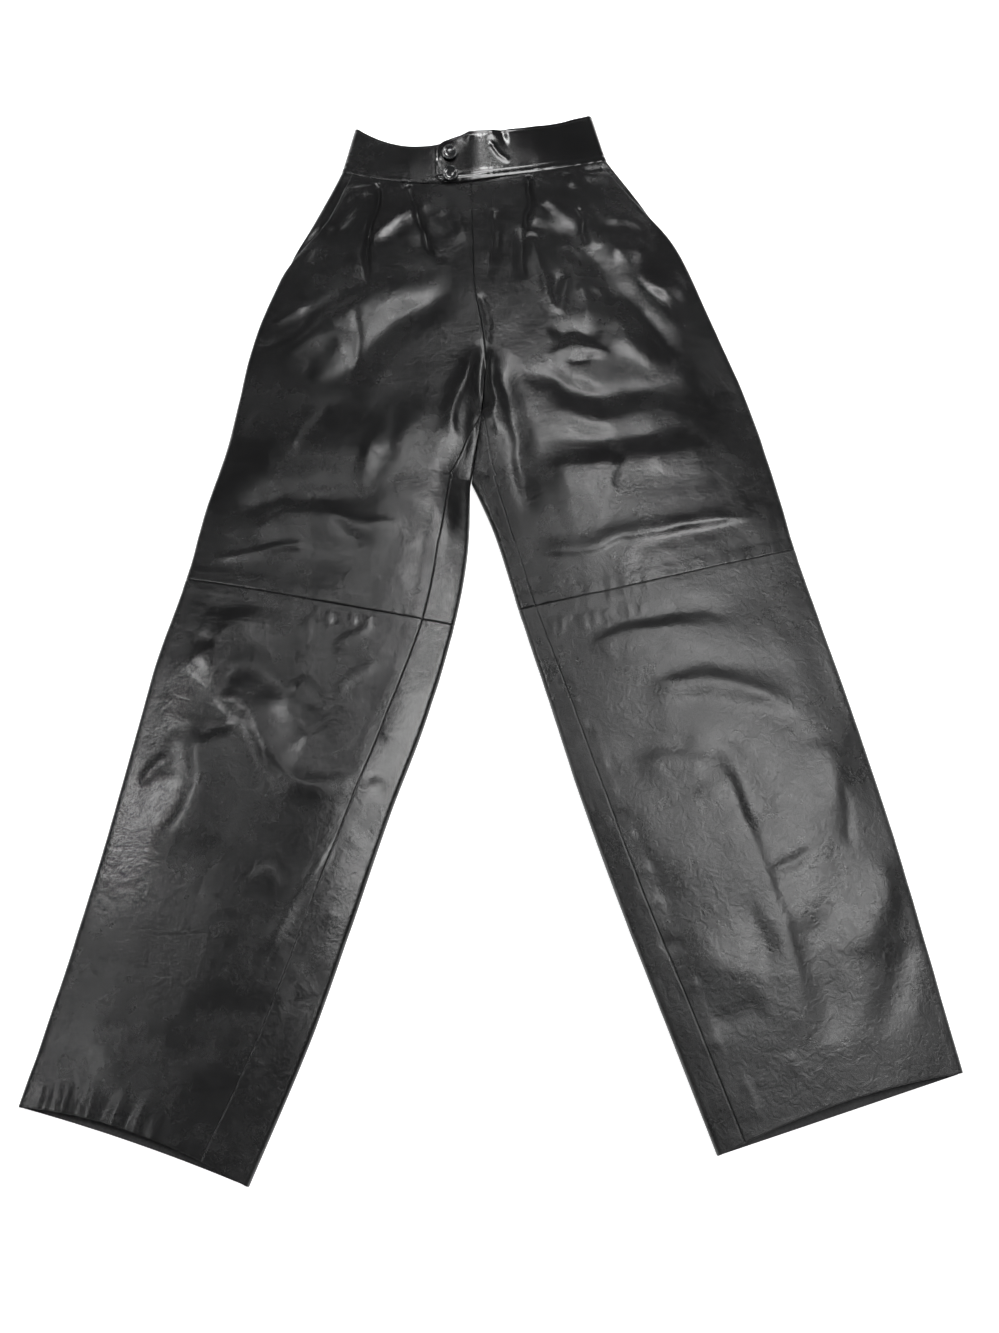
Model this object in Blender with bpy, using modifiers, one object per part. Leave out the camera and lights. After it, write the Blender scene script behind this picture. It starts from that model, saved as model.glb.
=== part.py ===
"""Leather trousers laid flat on their back, front up.

Frame: metres, +Z up.  The underside rests on z = 0, the waist points to +Y, the hems to -Y and
the wearer's right leg lies on the -X side.

Each half of the trousers is one flattened tube.  It is worked out from a table with a row for
each cross section, in centimetres.  A section runs from the side fold to the inner line: the
centre line of the body above the crotch, and the inner fold of the leg below it.  Every panel
is a wall of leather over its own stretch of that tube.
"""
import math
from collections import namedtuple

import bmesh
import bpy
from mathutils import Vector

COLLECTION = "leather_trousers"
CM = 0.01

# Driving dimensions, in centimetres.
LEATHER = 0.15           # wall of a panel
BAND_LEATHER = 0.26      # waistband, two layers sewn together
SEAM_GAP = 0.03          # between two pieces at a seam
BAND_FRONT_TAB = 4.4     # how far the left band laps past the centre line
TAB_CORNER = 1.5         # radius of the tab's rounded end
PUFF_POWER = 2.6         # how boxy a leg's cushion-like top is, 2 being a parabola
BODY_POWER = 1.7         # the same over the hips
BUTTON_DIAMETER = 1.8
BUTTON_HEIGHT = 0.45
BUTTON_SIDES = 20
BUTTON_FROM_CENTRE = 2.5  # how far past the centre line the buttons sit
BUTTONS = {"button_upper": 0.64, "button_lower": 0.17}  # share of the band's width
EDGE_BLEND = 2.5         # folds fade out this close to a folded edge
ZIP_WIDTH = 2.8
ZIP_THICK = 0.10
SHIELD_WIDTH = 4.4
SHIELD_THICK = 0.15
FACING_CLEARANCE = 0.08  # the mouth's edge stands this far off the facing
BAND_WIDTH = 5.8         # waist seam to upper edge
SEAM_ALONG = 0.002       # half a seam gap along the leg, as a share of the rows' spacing
FRONT_HEM_SETBACK = 0.9  # the front hem lies this much higher up the leg, at its middle

LEATHER_COLOUR = (0.03, 0.03, 0.032)
LEATHER_ROUGHNESS = 0.42
BUTTON_COLOUR = (0.02, 0.02, 0.022)
BUTTON_ROUGHNESS = 0.18

# The middle of the laid outline, in the tables' coordinates: the frame's origin.
MIDDLE = (0.05, -0.6)

# How finely the panels are divided across.
FRONT_COLUMNS = 9
BACK_COLUMNS = 4
STRIP_COLUMNS = 2
FACING_COLUMNS = 5       # how many of a front's lines its pocket facing reaches under

# Stations along the leg: whole numbers are the rows of the section tables.
WAIST = 0.0
HIP_NOTCH = 2.0
FLY_START = 0.06
FLY_END = 2.9
CROTCH = 4.0
GAP_TOP = 5.0
KNEE = 7.0
HEM = 12.0

COLUMNS = ("side_x", "side_y", "inner_x", "inner_y", "sag", "height", "fold", "wrap", "mouth")
# sag: how far the middle of a section lies below the straight line between its ends
# height: how high the middle of the top stands; fold: outside height of the folded edges
# wrap: how far the back panel comes round the inner fold on to the top
# mouth: how far the pocket's mouth lies in from the side fold
SECTIONS = {
    "right": (
        (-14.3, 50.6, 1.5, 46.4, 1.3, 2.8, 1.3, 0.0, 1.8),
        (-17.4, 42.9, 1.4, 38.5, 0.8, 3.0, 1.1, 0.0, 2.2),
        (-21.3, 33.7, 1.4, 30.0, 0.4, 3.1, 1.0, 0.0, 0.0),
        (-23.8, 25.2, 2.2, 21.5, 0.2, 3.0, 0.9, 0.0, 0.0),
        (-25.0, 17.0, 1.5, 13.2, 0.2, 2.8, 0.9, 0.1, 0.0),
        (-25.9, 10.8, 0.05, 5.4, 0.3, 2.6, 0.9, 2.3, 0.0),
        (-27.6, 3.5, -0.5, -3.0, 0.4, 2.3, 0.9, 3.4, 0.0),
        (-29.1, -4.9, -2.1, -11.2, 0.5, 2.2, 0.9, 3.4, 0.0),
        (-31.3, -14.2, -5.1, -21.2, 0.4, 2.1, 0.9, 4.0, 0.0),
        (-32.9, -23.5, -8.4, -29.9, 0.3, 2.0, 0.9, 4.0, 0.0),
        (-34.6, -33.4, -11.5, -38.9, 0.0, 1.9, 0.9, 4.2, 0.0),
        (-36.7, -43.6, -15.2, -49.3, -0.2, 1.7, 0.8, 4.3, 0.0),
        (-39.0, -53.3, -19.8, -60.0, -0.3, 1.5, 0.8, 4.2, 0.0),
    ),
    "left": (
        (18.4, 51.0, 1.5, 46.4, 0.4, 2.8, 1.3, 0.0, 1.8),
        (22.3, 43.2, 1.4, 38.5, 0.4, 3.0, 1.1, 0.0, 0.9),
        (25.7, 36.0, 1.4, 30.0, 0.3, 3.1, 1.0, 0.0, 0.0),
        (28.3, 25.2, 2.2, 21.5, 0.2, 3.0, 0.9, 0.0, 0.0),
        (30.3, 16.5, 1.5, 13.2, 0.2, 2.8, 0.9, 0.1, 0.0),
        (31.6, 8.6, 0.15, 5.4, 0.3, 2.6, 0.9, 2.7, 0.0),
        (32.4, 2.0, 2.4, -1.2, 0.5, 2.4, 0.9, 1.9, 0.0),
        (33.0, -4.2, 4.4, -9.8, 0.6, 2.2, 0.9, 1.9, 0.0),
        (34.4, -13.8, 6.7, -19.2, 0.4, 2.2, 0.9, 2.2, 0.0),
        (35.9, -23.6, 9.1, -29.2, 0.3, 2.1, 0.9, 2.5, 0.0),
        (37.2, -33.6, 11.9, -39.4, 0.1, 2.0, 0.9, 2.5, 0.0),
        (38.2, -43.8, 14.9, -49.4, 0.0, 1.9, 0.8, 2.6, 0.0),
        (39.1, -54.1, 17.9, -59.4, 0.0, 1.6, 0.8, 2.5, 0.0),
    ),
}

# The upper edge of the waistband continues the same tube past the waist seam.
# crown is the power of its arch: 1 is a straight rise to the middle, 2 a round one.
BAND_COLUMNS = ("side_x", "side_y", "inner_x", "inner_y", "sag", "height", "fold", "crown")
BAND_TOP = {
    "right": (-12.8, 58.0, 1.5, 51.8, 2.9, 5.2, 1.5, 1.0),
    "left": (17.2, 58.8, 1.5, 51.8, 1.6, 5.2, 1.5, 1.9),
}

# The pleats, and the folds that are wide enough to change the shape.  A fold runs from one
# point to the other, bowed sideways by bend; a trough has a negative rise.
Fold = namedtuple("Fold", "x1 y1 x2 y2 bend half_width rise")
FOLDS = tuple(Fold(*row) for row in (
    (-5.7, 46.5, -3.0, 35.0, 0.6, 2.2, 0.45),
    (-9.8, 47.5, -10.8, 31.0, 0.5, 2.4, 0.35),
    (8.6, 47.8, 8.0, 37.0, -0.3, 2.2, 0.50),
    (8.6, 32.0, 11.5, 20.0, 0.4, 2.4, 0.35),
    (11.8, 10.5, 21.5, 10.5, -2.4, 2.6, 0.45),
    (10.5, -4.0, 29.0, 1.5, -0.5, 2.4, 0.40),
    (-25.5, -1.5, -15.0, -1.0, 0.5, 2.4, 0.40),
    (-25.5, -18.0, -12.0, -27.0, -2.0, 2.8, 0.45),
    (11.0, -13.5, 25.0, -11.5, 0.6, 2.4, 0.40),
    (12.0, -29.0, 21.0, -27.5, 0.4, 2.4, 0.35),
    (21.5, -29.0, 29.0, -52.0, 0.8, 2.6, 0.35),
))


def smoothstep(value):
    value = min(max(value, 0.0), 1.0)
    return value * value * (3.0 - 2.0 * value)


def catmull_rom(before, start, end, after, step):
    """The curve through start and end that keeps the neighbours' slopes."""
    slope_start = (end - before) / 2.0
    slope_end = (after - start) / 2.0
    square = step * step
    cube = square * step
    return (start * (2 * cube - 3 * square + 1) + end * (3 * square - 2 * cube)
            + slope_start * (cube - 2 * square + step) + slope_end * (cube - square))


def section(side, station):
    """The section table read at any station, as a dictionary of its columns."""
    rows = SECTIONS[side]
    if station < WAIST:
        return band_section(side, -station)
    index = min(int(station), len(rows) - 2)
    step = station - index
    row = {"crown": BODY_POWER}
    for c, column in enumerate(COLUMNS):
        first, last = 0, len(rows) - 1
        if column in ("inner_x", "inner_y"):
            # The inner line turns a sharp corner where the gap between the legs begins.
            first, last = (0, int(GAP_TOP)) if index < GAP_TOP else (int(GAP_TOP), last)
        start = rows[index][c]
        end = rows[index + 1][c]
        if column in ("wrap", "mouth"):
            row[column] = start + (end - start) * step
        else:
            before = rows[max(index - 1, first)][c]
            after = rows[min(index + 2, last)][c]
            row[column] = catmull_rom(before, start, end, after, step)
    return row


def band_section(side, share):
    """A section of the waistband; share is 0 at the waist seam and 1 at the upper edge."""
    waist = dict(zip(COLUMNS, SECTIONS[side][0]))
    waist["crown"] = BODY_POWER
    top = dict(zip(BAND_COLUMNS, BAND_TOP[side]))
    row = dict(waist)
    for column in BAND_COLUMNS:
        row[column] = waist[column] * (1.0 - share) + top[column] * share
    return row


def fold_height(x, y):
    """The sum of the folds at a place in plan."""
    total = 0.0
    for fold in FOLDS:
        along = Vector((fold.x2 - fold.x1, fold.y2 - fold.y1))
        length = along.length
        along /= length
        across = Vector((-along.y, along.x))
        offset = Vector((x - fold.x1, y - fold.y1))
        reach = offset.dot(along) / length
        ends = smoothstep((reach + 0.15) / 0.3) * smoothstep((1.15 - reach) / 0.3)
        centre = fold.bend * 4.0 * reach * (1.0 - reach)
        away = (offset.dot(across) - centre) / fold.half_width
        total += fold.rise * ends * math.exp(-away * away)
    return total


def puff(share, opened, crown):
    """Height of the top between its edges, 0 to 1.  opened is 0 where the inner line is the
    middle of the body and 1 where it is a fold."""
    share = min(max(share, 0.0), 1.0)
    body = 1.0 - (1.0 - share) ** crown
    leg = 1.0 - abs(2.0 * share - 1.0) ** PUFF_POWER
    return body * (1.0 - opened) + leg * opened


def place(side, station, top, around):
    """A point of the tube's outer face.  around is measured from the side fold over the top or
    under the bottom, following the rounded edge."""
    row = section(side, station)
    start = Vector((row["side_x"], row["side_y"]))
    end = Vector((row["inner_x"], row["inner_y"]))
    width = (end - start).length
    radius = row["fold"] / 2.0
    quarter = radius * math.pi / 2.0
    folded = station >= GAP_TOP
    if around < quarter:
        angle = around / radius
        across = radius * (1.0 - math.cos(angle))
        edge = radius * math.sin(angle)
    elif folded and around > quarter + width - 2.0 * radius:
        angle = min((around - quarter - width + 2.0 * radius) / radius, math.pi / 2.0)
        across = width - radius + radius * math.sin(angle)
        edge = radius * math.cos(angle)
    else:
        across = around - quarter + radius
        edge = radius
    share = across / width
    along = min(share, 1.0)
    opened = smoothstep((station - CROTCH) / (GAP_TOP - CROTCH))
    x = start.x + (end.x - start.x) * share
    y = start.y + (end.y - start.y) * along - row["sag"] * 4.0 * along * (1.0 - along)
    if not top:
        return Vector((x, y, radius - edge))
    setback = FRONT_HEM_SETBACK * smoothstep(station - HEM + 1.0) * 4.0 * along * (1.0 - along)
    from_side = smoothstep(across / EDGE_BLEND)
    from_fold = 1.0 - opened * (1.0 - smoothstep((width - across) / EDGE_BLEND))
    below_band = smoothstep((station + 0.6) / 0.6)
    folds = fold_height(x, y) * from_side * from_fold * below_band
    rise = (row["height"] - row["fold"]) * puff(share, opened, row["crown"])
    return Vector((x, y + setback, radius + edge + rise + folds))


def around_full(side, station):
    """Distance around the top from the side fold to the inner line."""
    row = section(side, station)
    width = math.hypot(row["inner_x"] - row["side_x"], row["inner_y"] - row["side_y"])
    radius = row["fold"] / 2.0
    edges = 2.0 if station >= GAP_TOP else 1.0
    return width + edges * radius * (math.pi / 2.0 - 1.0)


def outward(side, station, top, around):
    """The outward normal of the tube there, from its own slopes."""
    step = 0.004
    limit = around_full(side, station)
    low = max(around - step, 0.0)
    high = min(around + step, limit)
    if around > limit:
        low, high = around - step, around + step
    across = place(side, station, top, high) - place(side, station, top, low)
    nudge = 0.02
    # Both sides of a cross seam share one normal, so that their rims stay parallel.
    middle = round(station, 2)
    above = max(middle - nudge, -1.0)
    below = min(middle + nudge, HEM)
    if above < GAP_TOP <= middle:
        above = middle
    if below >= GAP_TOP > middle:
        below = GAP_TOP - 0.0001
    down = place(side, below, top, around) - place(side, above, top, around)
    normal = across.cross(down).normalized()
    faces_out = normal.z > 0.0 if top else normal.z < 0.0
    sideways = abs(normal.z) < 0.05
    if sideways:
        inside = place(side, station, top, limit / 2.0)
        faces_out = normal.dot(inside - place(side, station, top, around)) < 0.0
    return normal if faces_out else -normal


def material(name, colour, roughness):
    made = bpy.data.materials.new(name)
    made.use_nodes = True
    shader = made.node_tree.nodes["Principled BSDF"]
    shader.inputs["Base Color"].default_value = (*colour, 1.0)
    shader.inputs["Roughness"].default_value = roughness
    return made


def in_frame(point):
    """A point of the tables, in the part's own frame and in metres."""
    return (point - Vector((MIDDLE[0], MIDDLE[1], 0.0))) * CM


def skin_pair(spot, thickness):
    """The outer and the inner point of a wall at one place on the tube, in metres."""
    side, station, top, around, depth = spot
    normal = outward(side, station, top, around)
    outer = place(side, station, top, around) - normal * depth
    return (in_frame(outer), in_frame(outer - normal * thickness))


def wall(name, grids, thickness):
    """A closed wall over one or more grids of places on the tube.  A grid is a list of rows of
    (side, station, top, around, depth); grids are joined where their places meet."""
    mesh = bmesh.new()
    known = {}
    rims = {}

    def corner(spot):
        outer, inner = skin_pair(spot, thickness)
        key = (round(outer.x, 5), round(outer.y, 5), round(outer.z, 5))
        if key not in known:
            known[key] = (mesh.verts.new(outer), mesh.verts.new(inner))
        return known[key]

    def face(a, b, c):
        if len({a[0], b[0], c[0]}) < 3:
            return
        mesh.faces.new((a[0], b[0], c[0]))
        mesh.faces.new((c[1], b[1], a[1]))
        for start, end in ((a, b), (b, c), (c, a)):
            key = frozenset((start[0], end[0]))
            rims.setdefault(key, []).append((end[0], start[0], start[1], end[1]))

    for grid in grids:
        corners = [[corner(spot) for spot in row] for row in grid]
        for upper, lower in zip(corners[:-1], corners[1:]):
            for column in range(len(upper) - 1):
                face(upper[column], upper[column + 1], lower[column + 1])
                face(upper[column], lower[column + 1], lower[column])
    for rim in rims.values():
        if len(rim) == 1:
            mesh.faces.new(rim[0])
    bmesh.ops.triangulate(mesh, faces=mesh.faces)
    bmesh.ops.recalc_face_normals(mesh, faces=mesh.faces)
    made = bpy.data.meshes.new(name)
    mesh.to_mesh(made)
    mesh.free()
    return add_object(name, made)


def add_object(name, mesh, colour=LEATHER_COLOUR, roughness=LEATHER_ROUGHNESS):
    mesh.materials.append(material(name + "_material", colour, roughness))
    made = bpy.data.objects.new(name, mesh)
    bpy.data.collections[COLLECTION].objects.link(made)
    return made


def spread(start, end, count):
    """count + 1 values from start to end, both included."""
    return [start + (end - start) * step / count for step in range(count + 1)]


def on_top(side, station, arounds, depth=0.0):
    return [(side, station, True, around, depth) for around in arounds]


def underneath(side, station, arounds):
    return [(side, station, False, around, 0.0) for around in arounds]


def edge_steps(side, station, start=0.0):
    """Distances round one quarter of a folded edge, from its extreme line inwards."""
    quarter = section(side, station)["fold"] * math.pi / 4.0
    return [start + quarter * share for share in (0.0, 0.35, 0.7, 1.0)]


def to_inner_fold(side, station):
    """Distances over the last quarter of the ring, ending on the extreme line of the fold."""
    full = around_full(side, station)
    return [full - step for step in reversed(edge_steps(side, station))]


def front_arounds(side, station):
    """Distances across a front, from the pocket's mouth or the side fold to the inseam or the
    centre line.  Pieces on both sides of a cross seam use the same ones, so that they match."""
    row = section(side, station)
    head = edge_steps(side, station, SEAM_GAP / 2.0 + row["mouth"])
    end = around_full(side, station) - row["wrap"] - SEAM_GAP / 2.0
    return head[:-1] + spread(head[-1], end, FRONT_COLUMNS)


def back_arounds(side, station, end_gap=SEAM_GAP / 2.0):
    """Distances under a section, from the side fold to the centre line or the inner fold."""
    full = around_full(side, station)
    head = edge_steps(side, station, SEAM_GAP / 2.0)
    if station < GAP_TOP:
        tail = spread(full - 0.5, full - end_gap, 3)
    else:
        tail = to_inner_fold(side, station)
    return head[:-1] + spread(head[-1], tail[0], BACK_COLUMNS) + tail[1:]


def strip_arounds(side, station):
    """Distances over the part of the back that has come round on to the top."""
    full = around_full(side, station)
    start = full - section(side, station)["wrap"] + SEAM_GAP / 2.0
    if station < GAP_TOP:
        return spread(start, full - SEAM_GAP / 2.0, STRIP_COLUMNS + 3)
    tail = to_inner_fold(side, station)
    return spread(start, tail[0], STRIP_COLUMNS) + tail[1:]


def front_panel(name, side, stations):
    return wall(name, [[on_top(side, s, front_arounds(side, s)) for s in stations]], LEATHER)


def back_panel(name, side, stations):
    """The back lies underneath and, below the crotch, comes round the inner fold on to the top
    as far as the inseam."""
    bottom = [underneath(side, s, back_arounds(side, s)) for s in stations]
    strip = [on_top(side, s, strip_arounds(side, s)) for s in stations if s >= CROTCH]
    return wall(name, [bottom, strip], LEATHER)


def pocket_facing(name, side, stations):
    """The hip piece seen behind a slant pocket's mouth.  Outside the mouth it is the trousers'
    own surface, and inside it lies under the front, on the front's own lines."""
    rows = []
    for station in stations:
        if station > HIP_NOTCH + 0.3:
            continue
        mouth = section(side, station)["mouth"]
        front = front_arounds(side, station)[:FACING_COLUMNS]
        shown = [SEAM_GAP / 2.0 + mouth * share for share in (0.0, 0.2, 0.4, 0.7)]
        rows.append([(side, station, True, around, facing_depth(around, mouth))
                     for around in shown + front])
    return wall(name, [rows], LEATHER)


def facing_depth(around, mouth):
    """How far the facing lies under the trousers' own surface, past the pocket's mouth."""
    under = LEATHER + FACING_CLEARANCE
    return under * smoothstep((around - mouth + 0.9) / 0.6)


def waistband_back(name):
    rows = []
    for station in spread(-SEAM_ALONG, -1.0, 4):
        row = []
        for side in ("right", "left"):
            half = underneath(side, station, back_arounds(side, station, 0.0))
            row += half if side == "right" else half[::-1][1:]
        rows.append(row)
    return wall(name, [rows], BAND_LEATHER)


def waistband_right(name):
    rows = []
    for station in spread(-SEAM_ALONG, -1.0, 5):
        rows.append(on_top("right", station, band_arounds("right", station)))
    return wall(name, [rows], BAND_LEATHER)


def band_arounds(side, station):
    """Distances across a front half of the waistband, the side fold included."""
    return edge_steps(side, station, SEAM_GAP / 2.0) + front_arounds(side, station)


def tab_reach(share):
    """How far the tab laps past the centre line; its end is rounded at both corners."""
    from_edge = min(share, 1.0 - share) * BAND_WIDTH
    inset = max(TAB_CORNER - from_edge, 0.0)
    return BAND_FRONT_TAB - TAB_CORNER + math.sqrt(TAB_CORNER ** 2 - inset ** 2)


def waistband_left(name):
    """The left band and its tab, which lies on the right band, moved out by its thickness."""
    lift = BAND_LEATHER + SEAM_GAP
    rows = []
    for share in (SEAM_ALONG, 0.05, 0.13, 0.26, 0.5, 0.74, 0.87, 0.95, 1.0):
        station = -share
        arounds = band_arounds("left", station)
        row = on_top("left", station, arounds[:-1]) + on_top("left", station, arounds[-1:], -lift)
        full = around_full("right", station)
        reach = tab_reach(share)
        over = [full - reach * step for step in (0.3, 0.6, 0.85, 1.0)]
        rows.append(row + on_top("right", station, over, -lift))
    return wall(name, [rows], BAND_LEATHER)


def fly_piece(name, width, depth, thickness):
    """A strip behind the front opening, centred on it."""
    rows = []
    for station in spread(FLY_START, FLY_END, 8):
        row = []
        for side, steps in (("right", (0.5, 0.2)), ("left", (0.2, 0.5))):
            full = around_full(side, station)
            row += on_top(side, station, [full - width * step for step in steps], depth)
        rows.append(row)
    return wall(name, [rows], thickness)


def button(name, share):
    """A turned metal button: a domed face inside a rolled rim, on a short neck."""
    station = -share
    around = around_full("right", station) - BUTTON_FROM_CENTRE
    normal = outward("right", station, True, around)
    lift = BAND_LEATHER + 2.0 * SEAM_GAP
    spot = place("right", station, True, around) + normal * lift
    radius = BUTTON_DIAMETER / 2.0
    profile = (
        (0.0, BUTTON_HEIGHT * 0.86), (radius * 0.45, BUTTON_HEIGHT * 0.82),
        (radius * 0.72, BUTTON_HEIGHT * 0.72), (radius * 0.80, BUTTON_HEIGHT * 0.90),
        (radius * 0.90, BUTTON_HEIGHT), (radius * 0.98, BUTTON_HEIGHT * 0.86),
        (radius, BUTTON_HEIGHT * 0.62), (radius * 0.92, BUTTON_HEIGHT * 0.42),
        (radius * 0.45, BUTTON_HEIGHT * 0.34), (radius * 0.40, 0.0), (0.0, 0.0),
    )
    mesh = bpy.data.meshes.new(name)
    points = [(across * CM, 0.0, height * CM) for across, height in profile]
    mesh.from_pydata(points, [(i, i + 1) for i in range(len(points) - 1)], [])
    made = add_object(name, mesh, BUTTON_COLOUR, BUTTON_ROUGHNESS)
    turned = made.modifiers.new("turned", "SCREW")
    turned.steps = BUTTON_SIDES
    turned.render_steps = BUTTON_SIDES
    turned.use_merge_vertices = True
    turned.merge_threshold = 0.00002
    turned.use_normal_calculate = True
    made.rotation_mode = "QUATERNION"
    made.rotation_quaternion = Vector((0.0, 0.0, 1.0)).rotation_difference(normal)
    made.location = in_frame(spot)
    return made


def build():
    for old in list(bpy.data.objects):
        bpy.data.objects.remove(old, do_unlink=True)
    parts = bpy.data.collections.new(COLLECTION)
    bpy.context.scene.collection.children.link(parts)
    upper = spread(WAIST + SEAM_ALONG, KNEE - SEAM_ALONG, 21)
    upper = [station for station in upper if abs(station - GAP_TOP) > 0.2]
    upper = sorted(upper + [CROTCH, GAP_TOP - 0.06, GAP_TOP])
    lower = spread(KNEE + SEAM_ALONG, HEM, 10)
    for side in ("right", "left"):
        front_panel("front_upper_" + side, side, upper)
        front_panel("front_lower_" + side, side, lower)
        back_panel("back_upper_" + side, side, upper)
        back_panel("back_lower_" + side, side, lower)
        pocket_facing("pocket_facing_" + side, side, upper)
    waistband_back("waistband_back")
    waistband_right("waistband_right")
    waistband_left("waistband_left_tab")
    fly_piece("fly_zip", ZIP_WIDTH, LEATHER + SEAM_GAP, ZIP_THICK)
    fly_piece("fly_shield", SHIELD_WIDTH, LEATHER + ZIP_THICK + 2.0 * SEAM_GAP, SHIELD_THICK)
    for name, share in BUTTONS.items():
        button(name, share)


build()
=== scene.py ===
import math
from collections import namedtuple

import bmesh
import bpy
import numpy as np
from mathutils import Matrix, Vector


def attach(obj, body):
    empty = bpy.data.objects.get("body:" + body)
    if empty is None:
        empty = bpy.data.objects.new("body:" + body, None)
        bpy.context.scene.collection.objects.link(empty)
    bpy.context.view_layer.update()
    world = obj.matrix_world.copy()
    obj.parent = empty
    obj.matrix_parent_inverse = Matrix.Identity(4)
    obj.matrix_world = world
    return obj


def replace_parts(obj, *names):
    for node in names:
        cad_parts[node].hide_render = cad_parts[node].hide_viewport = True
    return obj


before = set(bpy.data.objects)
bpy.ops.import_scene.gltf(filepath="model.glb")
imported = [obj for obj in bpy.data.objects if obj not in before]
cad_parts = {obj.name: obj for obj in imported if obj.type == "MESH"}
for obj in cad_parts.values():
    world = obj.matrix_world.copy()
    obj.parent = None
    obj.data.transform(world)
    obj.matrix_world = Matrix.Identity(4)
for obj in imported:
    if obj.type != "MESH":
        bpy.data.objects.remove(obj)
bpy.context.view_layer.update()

# Black leather trousers laid flat on their back.  Each panel is a thin shell on the form that its
# CAD solid has, worked out from the same tables, in centimetres, with its creases laid over it.

CM = 0.01
SHARP_ANGLE = math.radians(50.0)
LEATHER = 0.15            # wall of a panel
BAND_LEATHER = 0.26       # waistband, two layers sewn together
SEAM_GAP = 0.02           # between two panels at a seam
BAND_FRONT_TAB = 4.4      # how far the left band laps past the centre line
TAB_CORNER = 1.5
TAB_CLEARANCE = 0.05
TAB_RAMP = 8.0            # over which the left band climbs on to the right one
BAND_WIDTH = 5.8
PUFF_POWER = 2.6          # how boxy a leg's cushion-like top is
BODY_POWER = 1.7          # the same over the hips
EDGE_BLEND = 2.5          # creases fade out this close to a folded edge
FRONT_HEM_SETBACK = 0.9
MIDDLE = (0.05, -0.6)     # the frame's origin in the tables' coordinates
ZIP_WIDTH = 2.8
ZIP_THICK = 0.10
SHIELD_WIDTH = 4.4
SHIELD_THICK = 0.15
FACING_CLEARANCE = 0.08
FACING_UNDERLAP = 3.4     # how far a pocket facing runs on under the front
HEM_TURN = 3.6            # how deep the hem is turned up inside
HEM_TURN_THICK = 0.10
BUTTON_DIAMETER = 1.8
BUTTON_FROM_CENTRE = 2.5
BUTTONS = {"button_upper": 0.64, "button_lower": 0.17}

# Stations along the leg: whole numbers are the rows of the section tables.
WAIST = 0.0
FLY_START = 0.06
FLY_END = 2.9
CROTCH = 4.0
GAP_TOP = 5.0
KNEE = 7.0
HEM = 12.0
HIP_END = 2.3             # lower end of the pocket facings
SEAM_STATION = 0.0015     # half the gap at the waist seam, and at the knee seams, in stations
KNEE_STATION = 0.0012
GAP_STATION = 0.008       # the last row before the legs part
UPPER_ROW = 7.9           # centimetres between two stations above the knee, and below it
LOWER_ROW = 9.8

COLUMNS = ("side_x", "side_y", "inner_x", "inner_y", "sag", "height", "fold", "wrap", "mouth")
SECTIONS = {
    "right": (
        (-14.3, 50.6, 1.5, 46.4, 1.3, 2.8, 1.3, 0.0, 1.8),
        (-17.4, 42.9, 1.4, 38.5, 0.8, 3.0, 1.1, 0.0, 2.2),
        (-21.3, 33.7, 1.4, 30.0, 0.4, 3.1, 1.0, 0.0, 0.0),
        (-23.8, 25.2, 2.2, 21.5, 0.2, 3.0, 0.9, 0.0, 0.0),
        (-25.0, 17.0, 1.5, 13.2, 0.2, 2.8, 0.9, 0.1, 0.0),
        (-25.9, 10.8, 0.05, 5.4, 0.3, 2.6, 0.9, 2.3, 0.0),
        (-27.6, 3.5, -0.5, -3.0, 0.4, 2.3, 0.9, 3.4, 0.0),
        (-29.1, -4.9, -2.1, -11.2, 0.5, 2.2, 0.9, 3.4, 0.0),
        (-31.3, -14.2, -5.1, -21.2, 0.4, 2.1, 0.9, 4.0, 0.0),
        (-32.9, -23.5, -8.4, -29.9, 0.3, 2.0, 0.9, 4.0, 0.0),
        (-34.6, -33.4, -11.5, -38.9, 0.0, 1.9, 0.9, 4.2, 0.0),
        (-36.7, -43.6, -15.2, -49.3, -0.2, 1.7, 0.8, 4.3, 0.0),
        (-39.0, -53.3, -19.8, -60.0, -0.3, 1.5, 0.8, 4.2, 0.0),
    ),
    "left": (
        (18.4, 51.0, 1.5, 46.4, 0.4, 2.8, 1.3, 0.0, 1.8),
        (22.3, 43.2, 1.4, 38.5, 0.4, 3.0, 1.1, 0.0, 0.9),
        (25.7, 36.0, 1.4, 30.0, 0.3, 3.1, 1.0, 0.0, 0.0),
        (28.3, 25.2, 2.2, 21.5, 0.2, 3.0, 0.9, 0.0, 0.0),
        (30.3, 16.5, 1.5, 13.2, 0.2, 2.8, 0.9, 0.1, 0.0),
        (31.6, 8.6, 0.15, 5.4, 0.3, 2.6, 0.9, 2.7, 0.0),
        (32.4, 2.0, 2.4, -1.2, 0.5, 2.4, 0.9, 1.9, 0.0),
        (33.0, -4.2, 4.4, -9.8, 0.6, 2.2, 0.9, 1.9, 0.0),
        (34.4, -13.8, 6.7, -19.2, 0.4, 2.2, 0.9, 2.2, 0.0),
        (35.9, -23.6, 9.1, -29.2, 0.3, 2.1, 0.9, 2.5, 0.0),
        (37.2, -33.6, 11.9, -39.4, 0.1, 2.0, 0.9, 2.5, 0.0),
        (38.2, -43.8, 14.9, -49.4, 0.0, 1.9, 0.8, 2.6, 0.0),
        (39.1, -54.1, 17.9, -59.4, 0.0, 1.6, 0.8, 2.5, 0.0),
    ),
}
BAND_COLUMNS = ("side_x", "side_y", "inner_x", "inner_y", "sag", "height", "fold", "crown")
BAND_TOP = {
    "right": (-12.8, 58.0, 1.5, 51.8, 2.9, 5.2, 1.5, 1.0),
    "left": (17.2, 58.8, 1.5, 51.8, 1.6, 5.2, 1.5, 1.9),
}

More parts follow.
